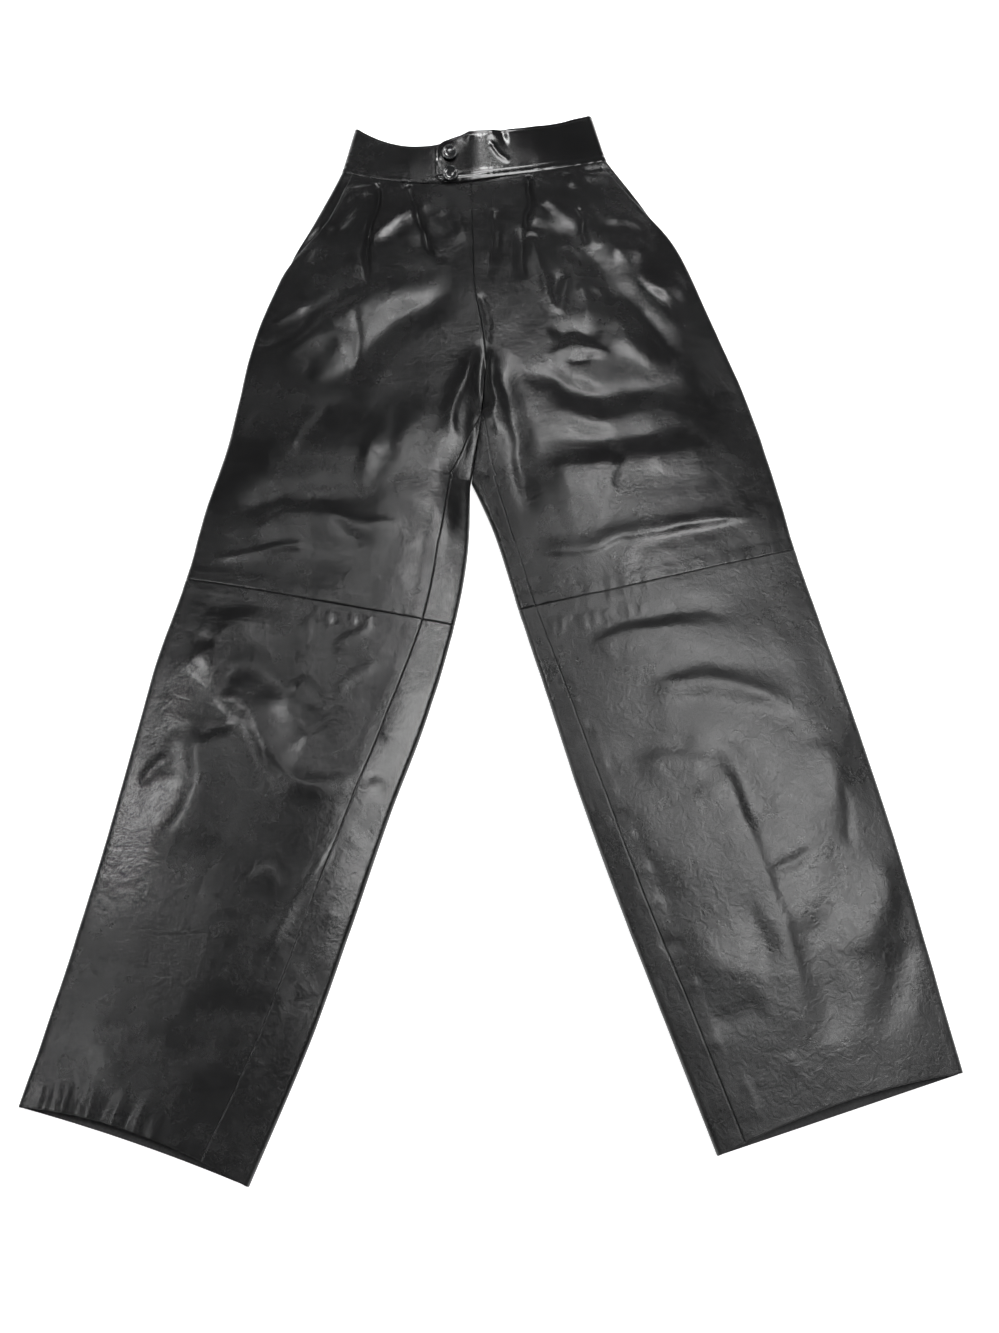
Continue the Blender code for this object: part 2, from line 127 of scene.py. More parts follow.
# A crease runs along a path in plan.  rise is its height, or depth where it is negative.  port
# and starboard are its half widths on the left and on the right of somebody walking the path:
# towards the waist and the hem on a path that runs from left to right, and to the right and to
# the left on one that runs down.  fade_in and fade_out are the shares of its length over which
# it grows and dies.
Crease = namedtuple("Crease", "rise port starboard fade_in fade_out path")


def creases(*rows):
    """Creases from rows that give the five numbers and then the points of the path."""
    return tuple(Crease(*row[:5], row[5:]) for row in rows)


# The pleats, tucked in under the band.
PLEATS = creases(
    (-0.42, 0.30, 0.30, 0.02, 0.12, (-5.9, 46.6), (-5.2, 43.1), (-4.6, 39.6), (-3.9, 36.8),
     (-2.6, 34.4)),
    (-0.36, 0.5, 0.55, 0.4, 0.25, (-4.4, 39.0), (-3.6, 36.6), (-2.4, 34.2), (-2.0, 33.4)),
    (0.20, 1.9, 0.5, 0.15, 0.4, (-4.9, 46.4), (-4.2, 43.6), (-3.5, 40.4), (-2.6, 37.6)),
    (0.18, 0.5, 1.6, 0.1, 0.3, (-6.6, 46.0), (-5.9, 43.0), (-5.3, 39.4), (-4.6, 36.4)),
    (-0.40, 0.30, 0.30, 0.02, 0.35, (-9.8, 47.6), (-9.9, 44.2), (-10.6, 40.1), (-10.8, 36.1),
     (-10.6, 30.0)),
    (0.24, 0.4, 1.8, 0.05, 0.3, (-10.5, 47.6), (-10.7, 44.2), (-11.3, 40.1), (-11.5, 36.1),
     (-11.2, 31.5)),
    (-0.44, 0.34, 0.30, 0.02, 0.10, (8.5, 47.4), (8.3, 43.8), (7.8, 39.9), (7.8, 37.6)),
    (0.26, 1.7, 0.5, 0.05, 0.2, (9.4, 47.2), (9.3, 43.8), (8.8, 40.2), (8.8, 38.4)),
    (0.24, 0.5, 0.7, 0.25, 0.25, (7.4, 38.2), (8.4, 38.0), (9.6, 37.5)),
    (-0.18, 0.28, 0.30, 0.1, 0.2, (14.0, 42.6), (14.4, 39.4), (14.9, 36.0)),
    (0.16, 0.8, 0.4, 0.2, 0.2, (14.9, 41.6), (15.3, 38.8), (15.8, 35.6)),
)

# The fly, and the creases that run from it into the crotch.
MIDDLE_CREASES = creases(
    (-0.28, 0.5, 0.35, 0.2, 0.3, (4.2, 42.5), (4.1, 38.0), (3.8, 34.5), (3.3, 31.0)),
    (-0.36, 0.35, 0.8, 0.3, 0.3, (6.7, 39.0), (7.3, 36.0), (7.1, 33.3), (6.4, 30.2)),
    (-0.12, 0.7, 0.8, 0.3, 0.3, (-2.3, 41.6), (-1.1, 39.7), (-0.8, 37.4)),
    (0.18, 0.5, 0.7, 0.3, 0.3, (-0.9, 44.6), (-0.2, 41.0), (0.1, 36.5)),
    (-0.16, 0.3, 0.4, 0.1, 0.2, (1.9, 29.0), (2.7, 27.0), (3.0, 24.8), (2.8, 21.5)),
    (-1.0, 0.7, 0.75, 0.35, 0.1, (2.5, 23.0), (2.0, 19.0), (1.3, 14.4), (0.7, 9.5), (0.1, 5.6)),
    (0.50, 0.45, 0.9, 0.25, 0.2, (1.7, 21.8), (0.4, 17.6), (-1.1, 14.2), (-1.7, 11.4),
     (-1.0, 9.0)),
    (0.34, 0.7, 0.4, 0.25, 0.2, (2.9, 21.5), (2.9, 17.0), (2.9, 13.5), (3.4, 9.8)),
    (-0.42, 1.3, 0.6, 0.25, 0.3, (3.6, 21.5), (4.3, 16.5), (4.9, 11.0), (5.5, 5.0), (6.3, -0.5)),
)

RIGHT_THIGH = creases(
    (0.80, 2.2, 6.0, 0.35, 0.35, (-2.2, 17.0), (-3.2, 9.0), (-3.9, 3.0), (-4.6, -6.0)),
    (0.42, 1.9, 0.8, 0.2, 0.35, (-10.8, 38.2), (-7.2, 41.2), (-4.2, 43.0), (-2.2, 44.2)),
    (0.50, 3.0, 1.4, 0.3, 0.3, (-22.6, 36.0), (-19.6, 37.6), (-16.4, 38.2)),
    (0.40, 2.4, 1.2, 0.3, 0.3, (-17.5, 41.6), (-14.8, 42.2), (-12.4, 41.2)),
    (0.30, 1.7, 0.7, 0.25, 0.3, (-14.6, 44.6), (-12.4, 45.8), (-9.9, 46.0)),
    (0.22, 1.3, 0.6, 0.25, 0.3, (-9.2, 46.6), (-7.6, 46.6), (-6.0, 45.6)),
    (-0.45, 1.0, 1.1, 0.2, 0.35, (-23.8, 24.0), (-19.8, 24.6), (-16.5, 27.6), (-13.0, 30.0),
     (-9.0, 31.4)),
    (0.30, 1.6, 0.6, 0.25, 0.3, (-23.0, 26.8), (-20.0, 28.0), (-17.0, 29.6)),
    (0.50, 1.4, 2.0, 0.25, 0.4, (-22.0, 21.6), (-18.6, 25.0), (-15.0, 27.8), (-10.5, 29.4),
     (-5.5, 30.2), (-1.5, 29.4)),
    (0.20, 0.7, 0.8, 0.3, 0.3, (-15.8, 25.6), (-14.0, 24.0), (-13.6, 21.0)),
    (-0.14, 0.6, 0.5, 0.3, 0.3, (-19.4, 23.4), (-17.6, 21.4), (-17.0, 19.0)),
    (-0.40, 1.3, 2.0, 0.25, 0.25, (-16.0, 16.0), (-12.5, 20.0), (-10.0, 23.2), (-7.0, 26.3),
     (-3.2, 28.2), (0.6, 27.6)),
    (-0.12, 0.35, 0.3, 0.2, 0.3, (-12.6, 29.2), (-12.2, 25.5), (-12.0, 21.0), (-12.7, 17.0)),
    (0.16, 0.6, 0.9, 0.35, 0.35, (-17.2, 15.5), (-18.0, 12.0), (-19.2, 7.4)),
    (-0.16, 0.8, 0.6, 0.35, 0.35, (-14.9, 16.5), (-16.2, 12.0), (-17.0, 8.5)),
    (0.18, 0.9, 0.6, 0.35, 0.35, (-9.3, 13.0), (-10.4, 8.0), (-11.9, 2.9)),
    (-0.14, 0.7, 0.7, 0.35, 0.35, (-7.2, 14.5), (-8.2, 9.0), (-9.8, 4.6)),
    (0.14, 0.8, 0.9, 0.35, 0.35, (-24.0, 12.0), (-22.6, 14.0), (-21.0, 15.0)),
    (-0.42, 1.1, 0.8, 0.25, 0.3, (-25.5, 1.0), (-22.0, 2.8), (-18.0, 3.6), (-13.5, 3.2),
     (-9.0, 1.6)),
    (0.42, 0.7, 2.4, 0.2, 0.25, (-22.8, -0.6), (-19.0, 1.2), (-15.4, 1.3), (-12.0, -0.2),
     (-9.3, -0.6), (-5.8, 0.2)),
    (0.15, 0.3, 0.5, 0.3, 0.12, (-26.6, -3.0), (-21.3, -2.5), (-16.6, -2.1)),
    (-0.16, 0.5, 0.4, 0.3, 0.3, (-14.4, 0.9), (-12.6, -1.6), (-10.4, -3.2)),
)

LEFT_THIGH = creases(
    (-0.34, 0.30, 0.36, 0.25, 0.2, (14.6, 48.9), (16.6, 49.2), (18.9, 49.7)),
    (0.30, 0.4, 0.8, 0.25, 0.2, (14.8, 47.8), (17.0, 48.1), (19.6, 48.0)),
    (0.22, 0.6, 0.5, 0.3, 0.3, (12.6, 49.0), (13.6, 47.6), (13.8, 45.6)),
    (0.28, 1.6, 0.8, 0.2, 0.3, (9.4, 44.2), (11.4, 42.4), (14.6, 38.8)),
    (-0.38, 1.1, 1.4, 0.2, 0.3, (8.8, 41.0), (12.4, 36.9), (15.8, 33.2), (18.0, 29.2),
     (21.5, 24.6)),
    (0.34, 1.8, 0.8, 0.3, 0.3, (16.4, 40.2), (19.6, 40.8), (22.8, 39.2)),
    (0.45, 2.6, 1.3, 0.3, 0.3, (16.4, 34.8), (19.4, 36.0), (23.0, 35.0)),
    (0.40, 2.4, 1.2, 0.3, 0.3, (22.0, 28.6), (24.4, 30.2), (26.6, 29.6)),
    (0.26, 1.4, 0.7, 0.3, 0.3, (10.6, 36.4), (12.8, 36.0), (15.0, 34.4)),
    (0.26, 0.4, 0.5, 0.1, 0.15, (8.5, 37.4), (8.9, 34.0), (9.7, 29.6), (10.5, 25.6)),
    (0.20, 0.4, 0.4, 0.3, 0.1, (12.0, 32.6), (11.5, 29.0), (10.8, 25.8)),
    (-0.18, 0.35, 0.3, 0.3, 0.2, (10.8, 32.8), (10.6, 29.6), (10.6, 27.2)),
    (0.22, 0.8, 0.35, 0.15, 0.25, (13.3, 30.4), (13.9, 27.6), (13.9, 24.8)),
    (0.15, 0.35, 0.5, 0.25, 0.3, (12.8, 30.1), (14.6, 30.4), (16.8, 28.9)),
    (-0.42, 1.0, 0.7, 0.3, 0.3, (9.4, 22.6), (12.2, 23.6), (15.4, 22.8)),
    (0.30, 0.5, 0.9, 0.25, 0.3, (8.6, 19.6), (11.0, 20.9), (14.0, 21.0), (16.4, 19.8)),
    (-0.16, 0.3, 0.35, 0.3, 0.3, (10.8, 19.5), (12.6, 19.6), (14.2, 19.4)),
    (0.34, 1.5, 1.2, 0.25, 0.2, (16.0, 27.4), (17.4, 24.6), (19.0, 21.4), (21.2, 17.8)),
    (-0.32, 1.0, 0.9, 0.3, 0.3, (19.0, 28.0), (21.6, 24.5), (23.2, 19.6)),
    (-0.36, 1.0, 1.3, 0.25, 0.25, (4.6, 18.2), (8.5, 17.4), (11.4, 15.6), (15.4, 14.9),
     (20.0, 15.9), (24.6, 17.2)),
    (0.24, 1.6, 1.0, 0.2, 0.25, (8.3, 14.2), (11.7, 12.3), (15.0, 11.6), (18.3, 12.7),
     (23.0, 13.9)),
    (-0.30, 0.9, 1.6, 0.3, 0.3, (7.0, 10.4), (12.0, 8.9), (17.0, 9.2), (24.5, 11.4)),
    (0.40, 1.0, 3.6, 0.25, 0.12, (7.4, 5.2), (11.0, 5.8), (14.0, 5.6), (16.2, 4.8)),
    (0.24, 1.0, 1.8, 0.3, 0.3, (17.8, 5.8), (21.6, 7.0), (26.0, 7.4)),
    (0.26, 0.9, 0.34, 0.15, 0.2, (5.6, -4.4), (8.6, -4.0), (12.0, -4.1), (14.2, -3.0),
     (16.2, -2.4), (23.0, -1.4), (29.9, -0.5)),
    (-0.14, 0.34, 0.9, 0.25, 0.25, (14.9, -3.8), (18.0, -3.3), (23.0, -2.5), (28.4, -1.8)),
)

RIGHT_SHIN = creases(
    (-0.30, 1.5, 1.3, 0.25, 0.3, (-25.8, -15.4), (-22.4, -15.6), (-19.0, -17.5), (-17.2, -20.4),
     (-15.2, -23.0), (-12.4, -23.6)),
    (0.54, 2.4, 0.9, 0.2, 0.3, (-25.0, -17.2), (-22.6, -18.5), (-20.8, -20.1), (-20.0, -22.2),
     (-18.8, -24.8), (-17.0, -26.4)),
    (0.36, 1.0, 1.3, 0.3, 0.25, (-19.6, -24.0), (-18.2, -25.9), (-15.8, -27.3), (-13.2, -27.2),
     (-11.3, -26.0), (-9.9, -23.4)),
    (-0.22, 0.7, 0.6, 0.3, 0.3, (-17.6, -16.6), (-16.0, -18.8), (-15.2, -20.4)),
    (0.14, 0.4, 0.5, 0.3, 0.3, (-16.6, -9.6), (-16.3, -12.2), (-17.6, -15.0)),
    (0.12, 0.5, 0.4, 0.3, 0.3, (-14.2, -14.6), (-12.0, -12.8), (-9.8, -11.6)),
    (0.12, 0.5, 0.5, 0.3, 0.3, (-14.0, -18.8), (-11.6, -16.8), (-9.4, -15.0)),
    (-0.20, 0.6, 0.6, 0.3, 0.3, (-26.6, -22.2), (-24.6, -21.2), (-22.4, -20.8)),
    (0.46, 3.0, 1.1, 0.25, 0.3, (-27.0, -19.2), (-26.2, -22.4), (-25.9, -25.4), (-26.4, -28.4),
     (-27.4, -31.4), (-28.0, -34.6)),
    (0.12, 1.0, 0.6, 0.3, 0.3, (-28.0, -21.0), (-28.9, -23.6), (-28.8, -26.4)),
    (0.14, 0.5, 0.6, 0.3, 0.3, (-31.4, -27.0), (-30.0, -24.6), (-28.6, -23.6)),
    (0.36, 2.6, 1.1, 0.2, 0.3, (-23.2, -8.6), (-23.8, -11.0), (-25.6, -13.4), (-28.0, -15.6)),
    (0.10, 0.9, 0.5, 0.3, 0.3, (-25.8, -8.6), (-26.4, -10.6), (-28.0, -12.4)),
    (-0.09, 0.5, 0.5, 0.3, 0.3, (-28.4, -10.4), (-26.4, -12.2), (-24.4, -12.4)),
    (0.17, 0.35, 0.6, 0.25, 0.25, (-13.4, -31.8), (-15.6, -35.8), (-17.4, -39.0), (-18.8, -42.4)),
    (-0.12, 1.2, 0.9, 0.3, 0.3, (-26.0, -46.0), (-22.0, -46.8), (-17.6, -46.2)),
    (-0.14, 1.0, 1.0, 0.3, 0.3, (-33.6, -46.6), (-28.4, -48.8), (-22.0, -50.4)),
    (0.16, 1.4, 1.4, 0.3, 0.3, (-36.4, -36.6), (-36.0, -40.0), (-36.8, -44.0)),
    (0.10, 0.9, 0.9, 0.3, 0.3, (-20.4, -34.6), (-19.2, -35.4), (-18.2, -34.8)),
)

LEFT_SHIN = creases(
    (-0.30, 1.0, 0.55, 0.25, 0.25, (11.4, -13.0), (14.6, -12.1), (18.0, -11.6), (23.0, -11.2),
     (25.2, -13.0)),
    (0.32, 0.5, 1.5, 0.2, 0.3, (10.6, -15.4), (12.0, -14.2), (14.6, -13.4), (17.4, -13.2),
     (21.4, -12.9), (23.8, -13.7)),
    (-0.22, 1.2, 0.9, 0.3, 0.3, (16.6, -18.2), (19.0, -17.4), (22.6, -16.9), (27.2, -17.5),
     (31.6, -18.9)),
    (0.28, 0.6, 1.2, 0.2, 0.35, (15.6, -19.8), (19.0, -18.9), (22.3, -18.7), (25.4, -19.5),
     (28.4, -20.7), (32.0, -21.8)),
    (-0.12, 0.9, 1.4, 0.25, 0.3, (17.4, -20.6), (21.4, -20.8), (26.0, -22.0), (32.0, -22.9)),
    (-0.24, 1.3, 0.8, 0.3, 0.25, (12.4, -26.8), (14.0, -25.3), (16.6, -24.7), (20.6, -24.7)),
    (0.20, 0.7, 1.5, 0.3, 0.25, (14.4, -27.6), (16.4, -26.8), (18.8, -26.6), (21.4, -26.8)),
    (0.26, 0.65, 2.6, 0.12, 0.3, (21.0, -26.5), (22.2, -28.0), (23.2, -30.8), (24.0, -34.4),
     (24.9, -38.6), (25.8, -43.0), (26.4, -47.2), (27.0, -52.0)),
    (-0.20, 1.2, 0.9, 0.25, 0.3, (21.4, -23.8), (23.4, -26.6), (24.6, -30.0), (25.6, -34.0)),
    (-0.26, 1.3, 1.2, 0.3, 0.25, (29.4, -39.0), (28.3, -43.4), (28.3, -47.0), (28.2, -52.0)),
    (-0.16, 1.0, 0.9, 0.3, 0.3, (22.6, -38.4), (23.6, -42.0), (24.2, -46.0)),
    (-0.14, 0.4, 0.35, 0.25, 0.3, (25.4, -37.2), (27.4, -36.5), (29.2, -34.9)),
    (-0.15, 0.35, 0.5, 0.3, 0.25, (32.9, -28.6), (33.3, -31.6), (33.0, -35.6)),
    (0.22, 0.9, 0.9, 0.3, 0.3, (31.4, -24.4), (32.4, -28.0), (32.2, -32.2)),
    (-0.20, 0.9, 1.1, 0.25, 0.3, (37.2, -42.8), (35.2, -45.6), (33.8, -48.8), (32.2, -51.6)),
    (0.28, 1.4, 1.0, 0.3, 0.3, (31.6, -45.4), (33.2, -42.0), (35.6, -38.4), (36.6, -35.0)),
    (-0.18, 0.9, 0.9, 0.3, 0.3, (18.6, -50.0), (20.6, -49.0), (23.4, -48.2)),
    (0.16, 1.6, 1.6, 0.35, 0.35, (16.0, -43.0), (20.4, -44.6), (24.0, -44.4)),
    (-0.14, 1.0, 1.2, 0.3, 0.3, (12.0, -30.0), (14.4, -36.0), (16.8, -41.6)),
    (0.06, 0.4, 0.5, 0.3, 0.3, (24.2, -51.8), (24.8, -52.8), (25.0, -54.0)),
    (0.08, 0.3, 0.5, 0.3, 0.3, (20.2, -52.8), (20.8, -54.6), (21.4, -57.2)),
)

# Puckers along the knee seams, and ripples across the strips beside the inseams.
PUCKERS = tuple(
    Crease(rise, 0.24, 0.30, 0.3, 0.35, ((x, y), (x + slant, y - length)))
    for x, y, slant, length, rise in (
        (7.2, -11.2, 0.3, 1.8, 0.08), (8.3, -11.0, -0.2, 2.2, 0.10), (9.3, -10.9, 0.2, 1.6, -0.07),
        (10.2, -10.7, 0.3, 2.4, 0.10), (11.4, -10.6, 0.1, 1.9, 0.09), (12.5, -10.5, 0.4, 2.6, 0.11),
        (13.6, -10.3, 0.1, 1.7, -0.07), (14.8, -10.2, 0.3, 2.1, 0.09), (16.4, -9.9, 0.2, 1.6, 0.07),
        (13.2, -8.4, 0.1, 1.7, 0.08), (14.6, -8.2, 0.3, 1.5, 0.07), (-15.6, -9.0, 0.5, 2.0, 0.09),
        (-14.4, -9.3, 0.3, 2.6, 0.11), (-13.3, -9.6, -0.2, 1.8, -0.07),
        (-12.1, -9.9, 0.3, 2.2, 0.09), (-10.6, -10.2, 0.4, 1.8, 0.08),
    )
)
RIPPLES = tuple(
    Crease(rise, 0.42, 0.5, 0.3, 0.3, ((x, y), (x + 2.3, y + tilt)))
    for x, y, tilt, rise in (
        (5.6, -14.0, 0.5, 0.07), (6.2, -16.3, 0.7, 0.09), (6.9, -18.1, 0.4, -0.07),
        (7.4, -20.4, 0.8, 0.10), (8.2, -22.6, 0.6, 0.08), (8.7, -24.2, 0.9, -0.08),
        (9.5, -26.8, 0.6, 0.10), (10.2, -29.3, 0.8, 0.09), (11.0, -31.7, 0.5, -0.08),
        (11.6, -33.6, 0.9, 0.09), (12.6, -36.4, 0.6, 0.08), (13.6, -39.6, 0.8, 0.09),
        (14.6, -43.0, 0.6, -0.07), (15.8, -46.8, 0.8, 0.08), (17.2, -51.4, 0.6, 0.07),
        (-8.2, -18.5, -0.5, 0.08), (-9.4, -22.4, -0.7, 0.09), (-10.6, -27.0, -0.4, -0.07),
        (-12.4, -32.5, -0.6, 0.08), (-14.6, -38.6, -0.5, 0.07), (-16.6, -45.0, -0.6, 0.08),
    )
)

# Short gathers that stand across the wearer's right hem.
HEM_GATHERS = tuple(
    Crease(0.75 * rise, 0.34, 0.42, 0.35, 0.2, ((x + 0.7, y + length), (x, y)))
    for x, y, length, rise in (
        (-37.0, -54.6, 3.2, 0.10), (-35.4, -55.0, 4.0, 0.13), (-34.4, -55.4, 3.0, -0.10),
        (-33.3, -55.6, 4.6, 0.14), (-32.2, -56.0, 3.8, -0.12), (-31.1, -56.3, 4.4, 0.15),
        (-30.0, -56.6, 3.4, -0.10), (-29.0, -57.0, 4.6, 0.12), (-27.6, -57.3, 3.0, 0.08),
    )
)


def softened(group, lower, wider):
    """The same creases, lower and wider."""
    return tuple(crease._replace(rise=crease.rise * lower, port=crease.port * wider,
                                 starboard=crease.starboard * wider) for crease in group)


FRONT_CREASES = PLEATS + softened(MIDDLE_CREASES, 0.9, 1.1)
FRONT_CREASES += softened(RIGHT_THIGH + LEFT_THIGH + RIGHT_SHIN + LEFT_SHIN, 0.85, 1.25)
FRONT_CREASES += PUCKERS + RIPPLES + HEM_GATHERS

# The waistband: the pull of the buttons, and the rolls where it bends at the sides.
BAND_CREASES = creases(
    (0.10, 0.45, 0.5, 0.3, 0.3, (3.2, 56.6), (2.4, 54.6), (2.3, 52.4)),
    (0.12, 0.45, 0.5, 0.3, 0.3, (3.6, 54.6), (4.0, 52.4), (4.2, 50.8)),
    (0.14, 0.22, 0.3, 0.2, 0.3, (3.9, 50.9), (5.0, 49.6), (6.4, 48.9)),
    (-0.16, 0.5, 0.5, 0.3, 0.3, (5.6, 55.4), (5.4, 52.4), (5.9, 50.2)),
    (-0.08, 0.7, 0.7, 0.3, 0.3, (1.2, 54.4), (0.7, 52.0), (1.2, 50.0)),
    (0.12, 0.8, 0.6, 0.3, 0.3, (-11.5, 54.0), (-10.0, 53.4), (-8.4, 53.0)),
    (-0.12, 0.6, 0.6, 0.3, 0.3, (-12.6, 55.6), (-10.8, 52.4), (-10.0, 50.6)),
    (0.14, 0.6, 0.6, 0.3, 0.3, (11.4, 51.4), (13.6, 53.8), (16.6, 54.6)),
    (-0.14, 0.6, 0.7, 0.3, 0.3, (9.0, 54.6), (11.6, 55.0), (14.6, 56.8)),
    (0.10, 0.5, 0.5, 0.3, 0.3, (-4.0, 51.0), (-3.0, 49.4), (-2.0, 48.2)),
)

# The back lies on the surface, so its creases only press up into the garment.
BACK_CREASES = creases(
    (0.30, 0.5, 0.9, 0.25, 0.25, (-18.5, 24.0), (-11.0, 21.5), (-2.0, 22.5)),
    (0.26, 0.4, 0.8, 0.25, 0.25, (3.0, 23.5), (12.0, 22.0), (22.0, 25.5)),
    (0.22, 0.5, 0.7, 0.25, 0.25, (-20.5, 16.5), (-12.0, 15.0), (-5.0, 17.5)),
    (0.24, 0.5, 0.7, 0.25, 0.25, (7.0, 16.0), (16.0, 14.5), (25.0, 17.0)),
    (0.22, 0.4, 0.6, 0.3, 0.3, (-22.0, 0.5), (-15.0, -1.2), (-7.5, 0.0)),
    (0.26, 0.4, 0.7, 0.3, 0.3, (9.0, -2.0), (18.0, -4.0), (27.0, -1.0)),
    (0.20, 0.4, 0.6, 0.3, 0.3, (-24.5, -9.5), (-17.5, -11.0), (-10.0, -9.5)),
    (0.22, 0.5, 0.6, 0.3, 0.3, (10.5, -12.0), (19.0, -13.5), (28.5, -11.0)),
    (0.20, 0.5, 0.5, 0.3, 0.3, (-24.0, -20.0), (-20.0, -27.0), (-16.0, -29.0)),
    (0.20, 0.5, 0.6, 0.3, 0.3, (15.0, -20.0), (22.0, -24.0), (30.0, -23.0)),
    (0.18, 0.5, 0.5, 0.3, 0.3, (23.0, -31.0), (25.5, -40.0), (27.5, -49.0)),
    (0.18, 0.5, 0.5, 0.3, 0.3, (-22.0, -34.0), (-25.0, -42.0), (-27.0, -50.0)),
)

# Broad soft swells: middle, half widths along and across their axis, its angle, and the rise.
Swell = namedtuple("Swell", "x y along across angle rise")
SWELLS = (
    Swell(-15.5, 25.5, 5.0, 2.4, 40.0, 0.20),
    Swell(16.5, 22.5, 3.6, 3.0, 60.0, 0.22),
    Swell(-21.0, 37.5, 4.0, 2.6, 70.0, 0.15),
    Swell(-13.0, 36.0, 2.8, 5.0, 10.0, 0.18),
    Swell(19.5, 34.0, 4.0, 3.0, 60.0, 0.18),
    Swell(-18.0, -8.0, 4.0, 2.4, 0.0, 0.14),
    Swell(13.0, -33.0, 5.0, 3.0, 70.0, 0.16),
    Swell(31.0, -30.0, 6.0, 3.0, 80.0, 0.20),
    Swell(-24.0, -42.0, 6.0, 4.0, 70.0, 0.14),
    Swell(20.0, -8.5, 5.0, 2.0, 5.0, 0.12),
)


# ---------------------------------------------------------------------------------------------
# The form of the trousers
# ---------------------------------------------------------------------------------------------

def smoothstep(value):
    value = np.clip(value, 0.0, 1.0)
    return value * value * (3.0 - 2.0 * value)


def catmull_rom(before, start, end, after, step):
    slope_start = (end - before) / 2.0
    slope_end = (after - start) / 2.0
    square = step * step
    cube = square * step
    return (start * (2 * cube - 3 * square + 1) + end * (3 * square - 2 * cube)
            + slope_start * (cube - 2 * square + step) + slope_end * (cube - square))


def read(side, station):
    """The section table at an array of stations, negative ones being on the waistband."""
    rows = np.array(SECTIONS[side])
    inside = np.clip(station, WAIST, HEM)
    index = np.minimum(inside.astype(int), len(rows) - 2)
    step = inside - index
    row = {"crown": np.full(station.shape, BODY_POWER)}
    for c, column in enumerate(COLUMNS):
        start = rows[index, c]
        end = rows[index + 1, c]
        if column in ("wrap", "mouth"):
            row[column] = start + (end - start) * step
            continue
        first = np.zeros_like(index)
        last = np.full_like(index, len(rows) - 1)
        if column in ("inner_x", "inner_y"):
            first = np.where(index >= GAP_TOP, int(GAP_TOP), first)
            last = np.where(index >= GAP_TOP, last, int(GAP_TOP))
        before = rows[np.maximum(index - 1, first), c]
        after = rows[np.minimum(index + 2, last), c]
        row[column] = catmull_rom(before, start, end, after, step)
    share = np.clip(-station, 0.0, 1.0)
    for column, top in zip(BAND_COLUMNS, BAND_TOP[side]):
        waist = BODY_POWER if column == "crown" else SECTIONS[side][0][COLUMNS.index(column)]
        row[column] = np.where(station < WAIST, waist * (1.0 - share) + top * share, row[column])
    return row


def around_full(side, station):
    """Distance around the top from the side fold to the inner line."""
    row = read(side, station)
    width = np.hypot(row["inner_x"] - row["side_x"], row["inner_y"] - row["side_y"])
    edges = np.where(station >= GAP_TOP, 2.0, 1.0)
    return width + edges * row["fold"] / 2.0 * (math.pi / 2.0 - 1.0)


def place(side, station, top, around):
    """Points of the tube's smooth outer face, in centimetres, and how freely it may crease."""
    row = read(side, station)
    run_x = row["inner_x"] - row["side_x"]
    run_y = row["inner_y"] - row["side_y"]
    width = np.hypot(run_x, run_y)
    radius = row["fold"] / 2.0
    quarter = radius * math.pi / 2.0
    turn_in = around < quarter
    turn_out = (station >= GAP_TOP) & (around > quarter + width - 2.0 * radius)
    angle_in = around / radius
    angle_out = np.minimum((around - quarter - width + 2.0 * radius) / radius, math.pi / 2.0)
    across = around - quarter + radius
    across = np.where(turn_in, radius * (1.0 - np.cos(angle_in)), across)
    across = np.where(turn_out, width - radius + radius * np.sin(angle_out), across)
    edge = np.where(turn_in, radius * np.sin(angle_in), radius)
    edge = np.where(turn_out, radius * np.cos(angle_out), edge)
    share = across / width
    along = np.minimum(share, 1.0)
    opened = smoothstep((station - CROTCH) / (GAP_TOP - CROTCH))
    x = row["side_x"] + run_x * share
    y = row["side_y"] + run_y * along - row["sag"] * 4.0 * along * (1.0 - along)
    from_side = smoothstep(across / EDGE_BLEND)
    from_fold = 1.0 - opened * (1.0 - smoothstep((width - across) / EDGE_BLEND))
    free = from_side * from_fold
    if not top:
        from_middle = smoothstep((width - across) / EDGE_BLEND)
        return np.stack([x, y, radius - edge], axis=-1), free * from_middle
    shape = smoothstep(station - HEM + 1.0) * 4.0 * along * (1.0 - along)
    inner = np.clip(share, 0.0, 1.0)
    body = 1.0 - (1.0 - inner) ** row["crown"]
    leg = 1.0 - np.abs(2.0 * inner - 1.0) ** PUFF_POWER
    rise = (row["height"] - row["fold"]) * (body * (1.0 - opened) + leg * opened)
    height = radius + edge + rise
    return np.stack([x, y + FRONT_HEM_SETBACK * shape, height], axis=-1), free


# ---------------------------------------------------------------------------------------------
# Creases
# ---------------------------------------------------------------------------------------------

def value_noise(x, y, seed):
    """Smooth noise from -1 to 1, one bump a unit, the same on every run."""
    def lattice(i, j):
        wave = np.sin(i * 127.1 + j * 311.7 + seed * 74.7) * 43758.5453
        return wave - np.floor(wave)

    left = np.floor(x)
    low = np.floor(y)
    across = smoothstep(x - left)
    up = smoothstep(y - low)
    lower = lattice(left, low) * (1.0 - across) + lattice(left + 1.0, low) * across
    upper = lattice(left, low + 1.0) * (1.0 - across) + lattice(left + 1.0, low + 1.0) * across
    return (lower * (1.0 - up) + upper * up) * 2.0 - 1.0


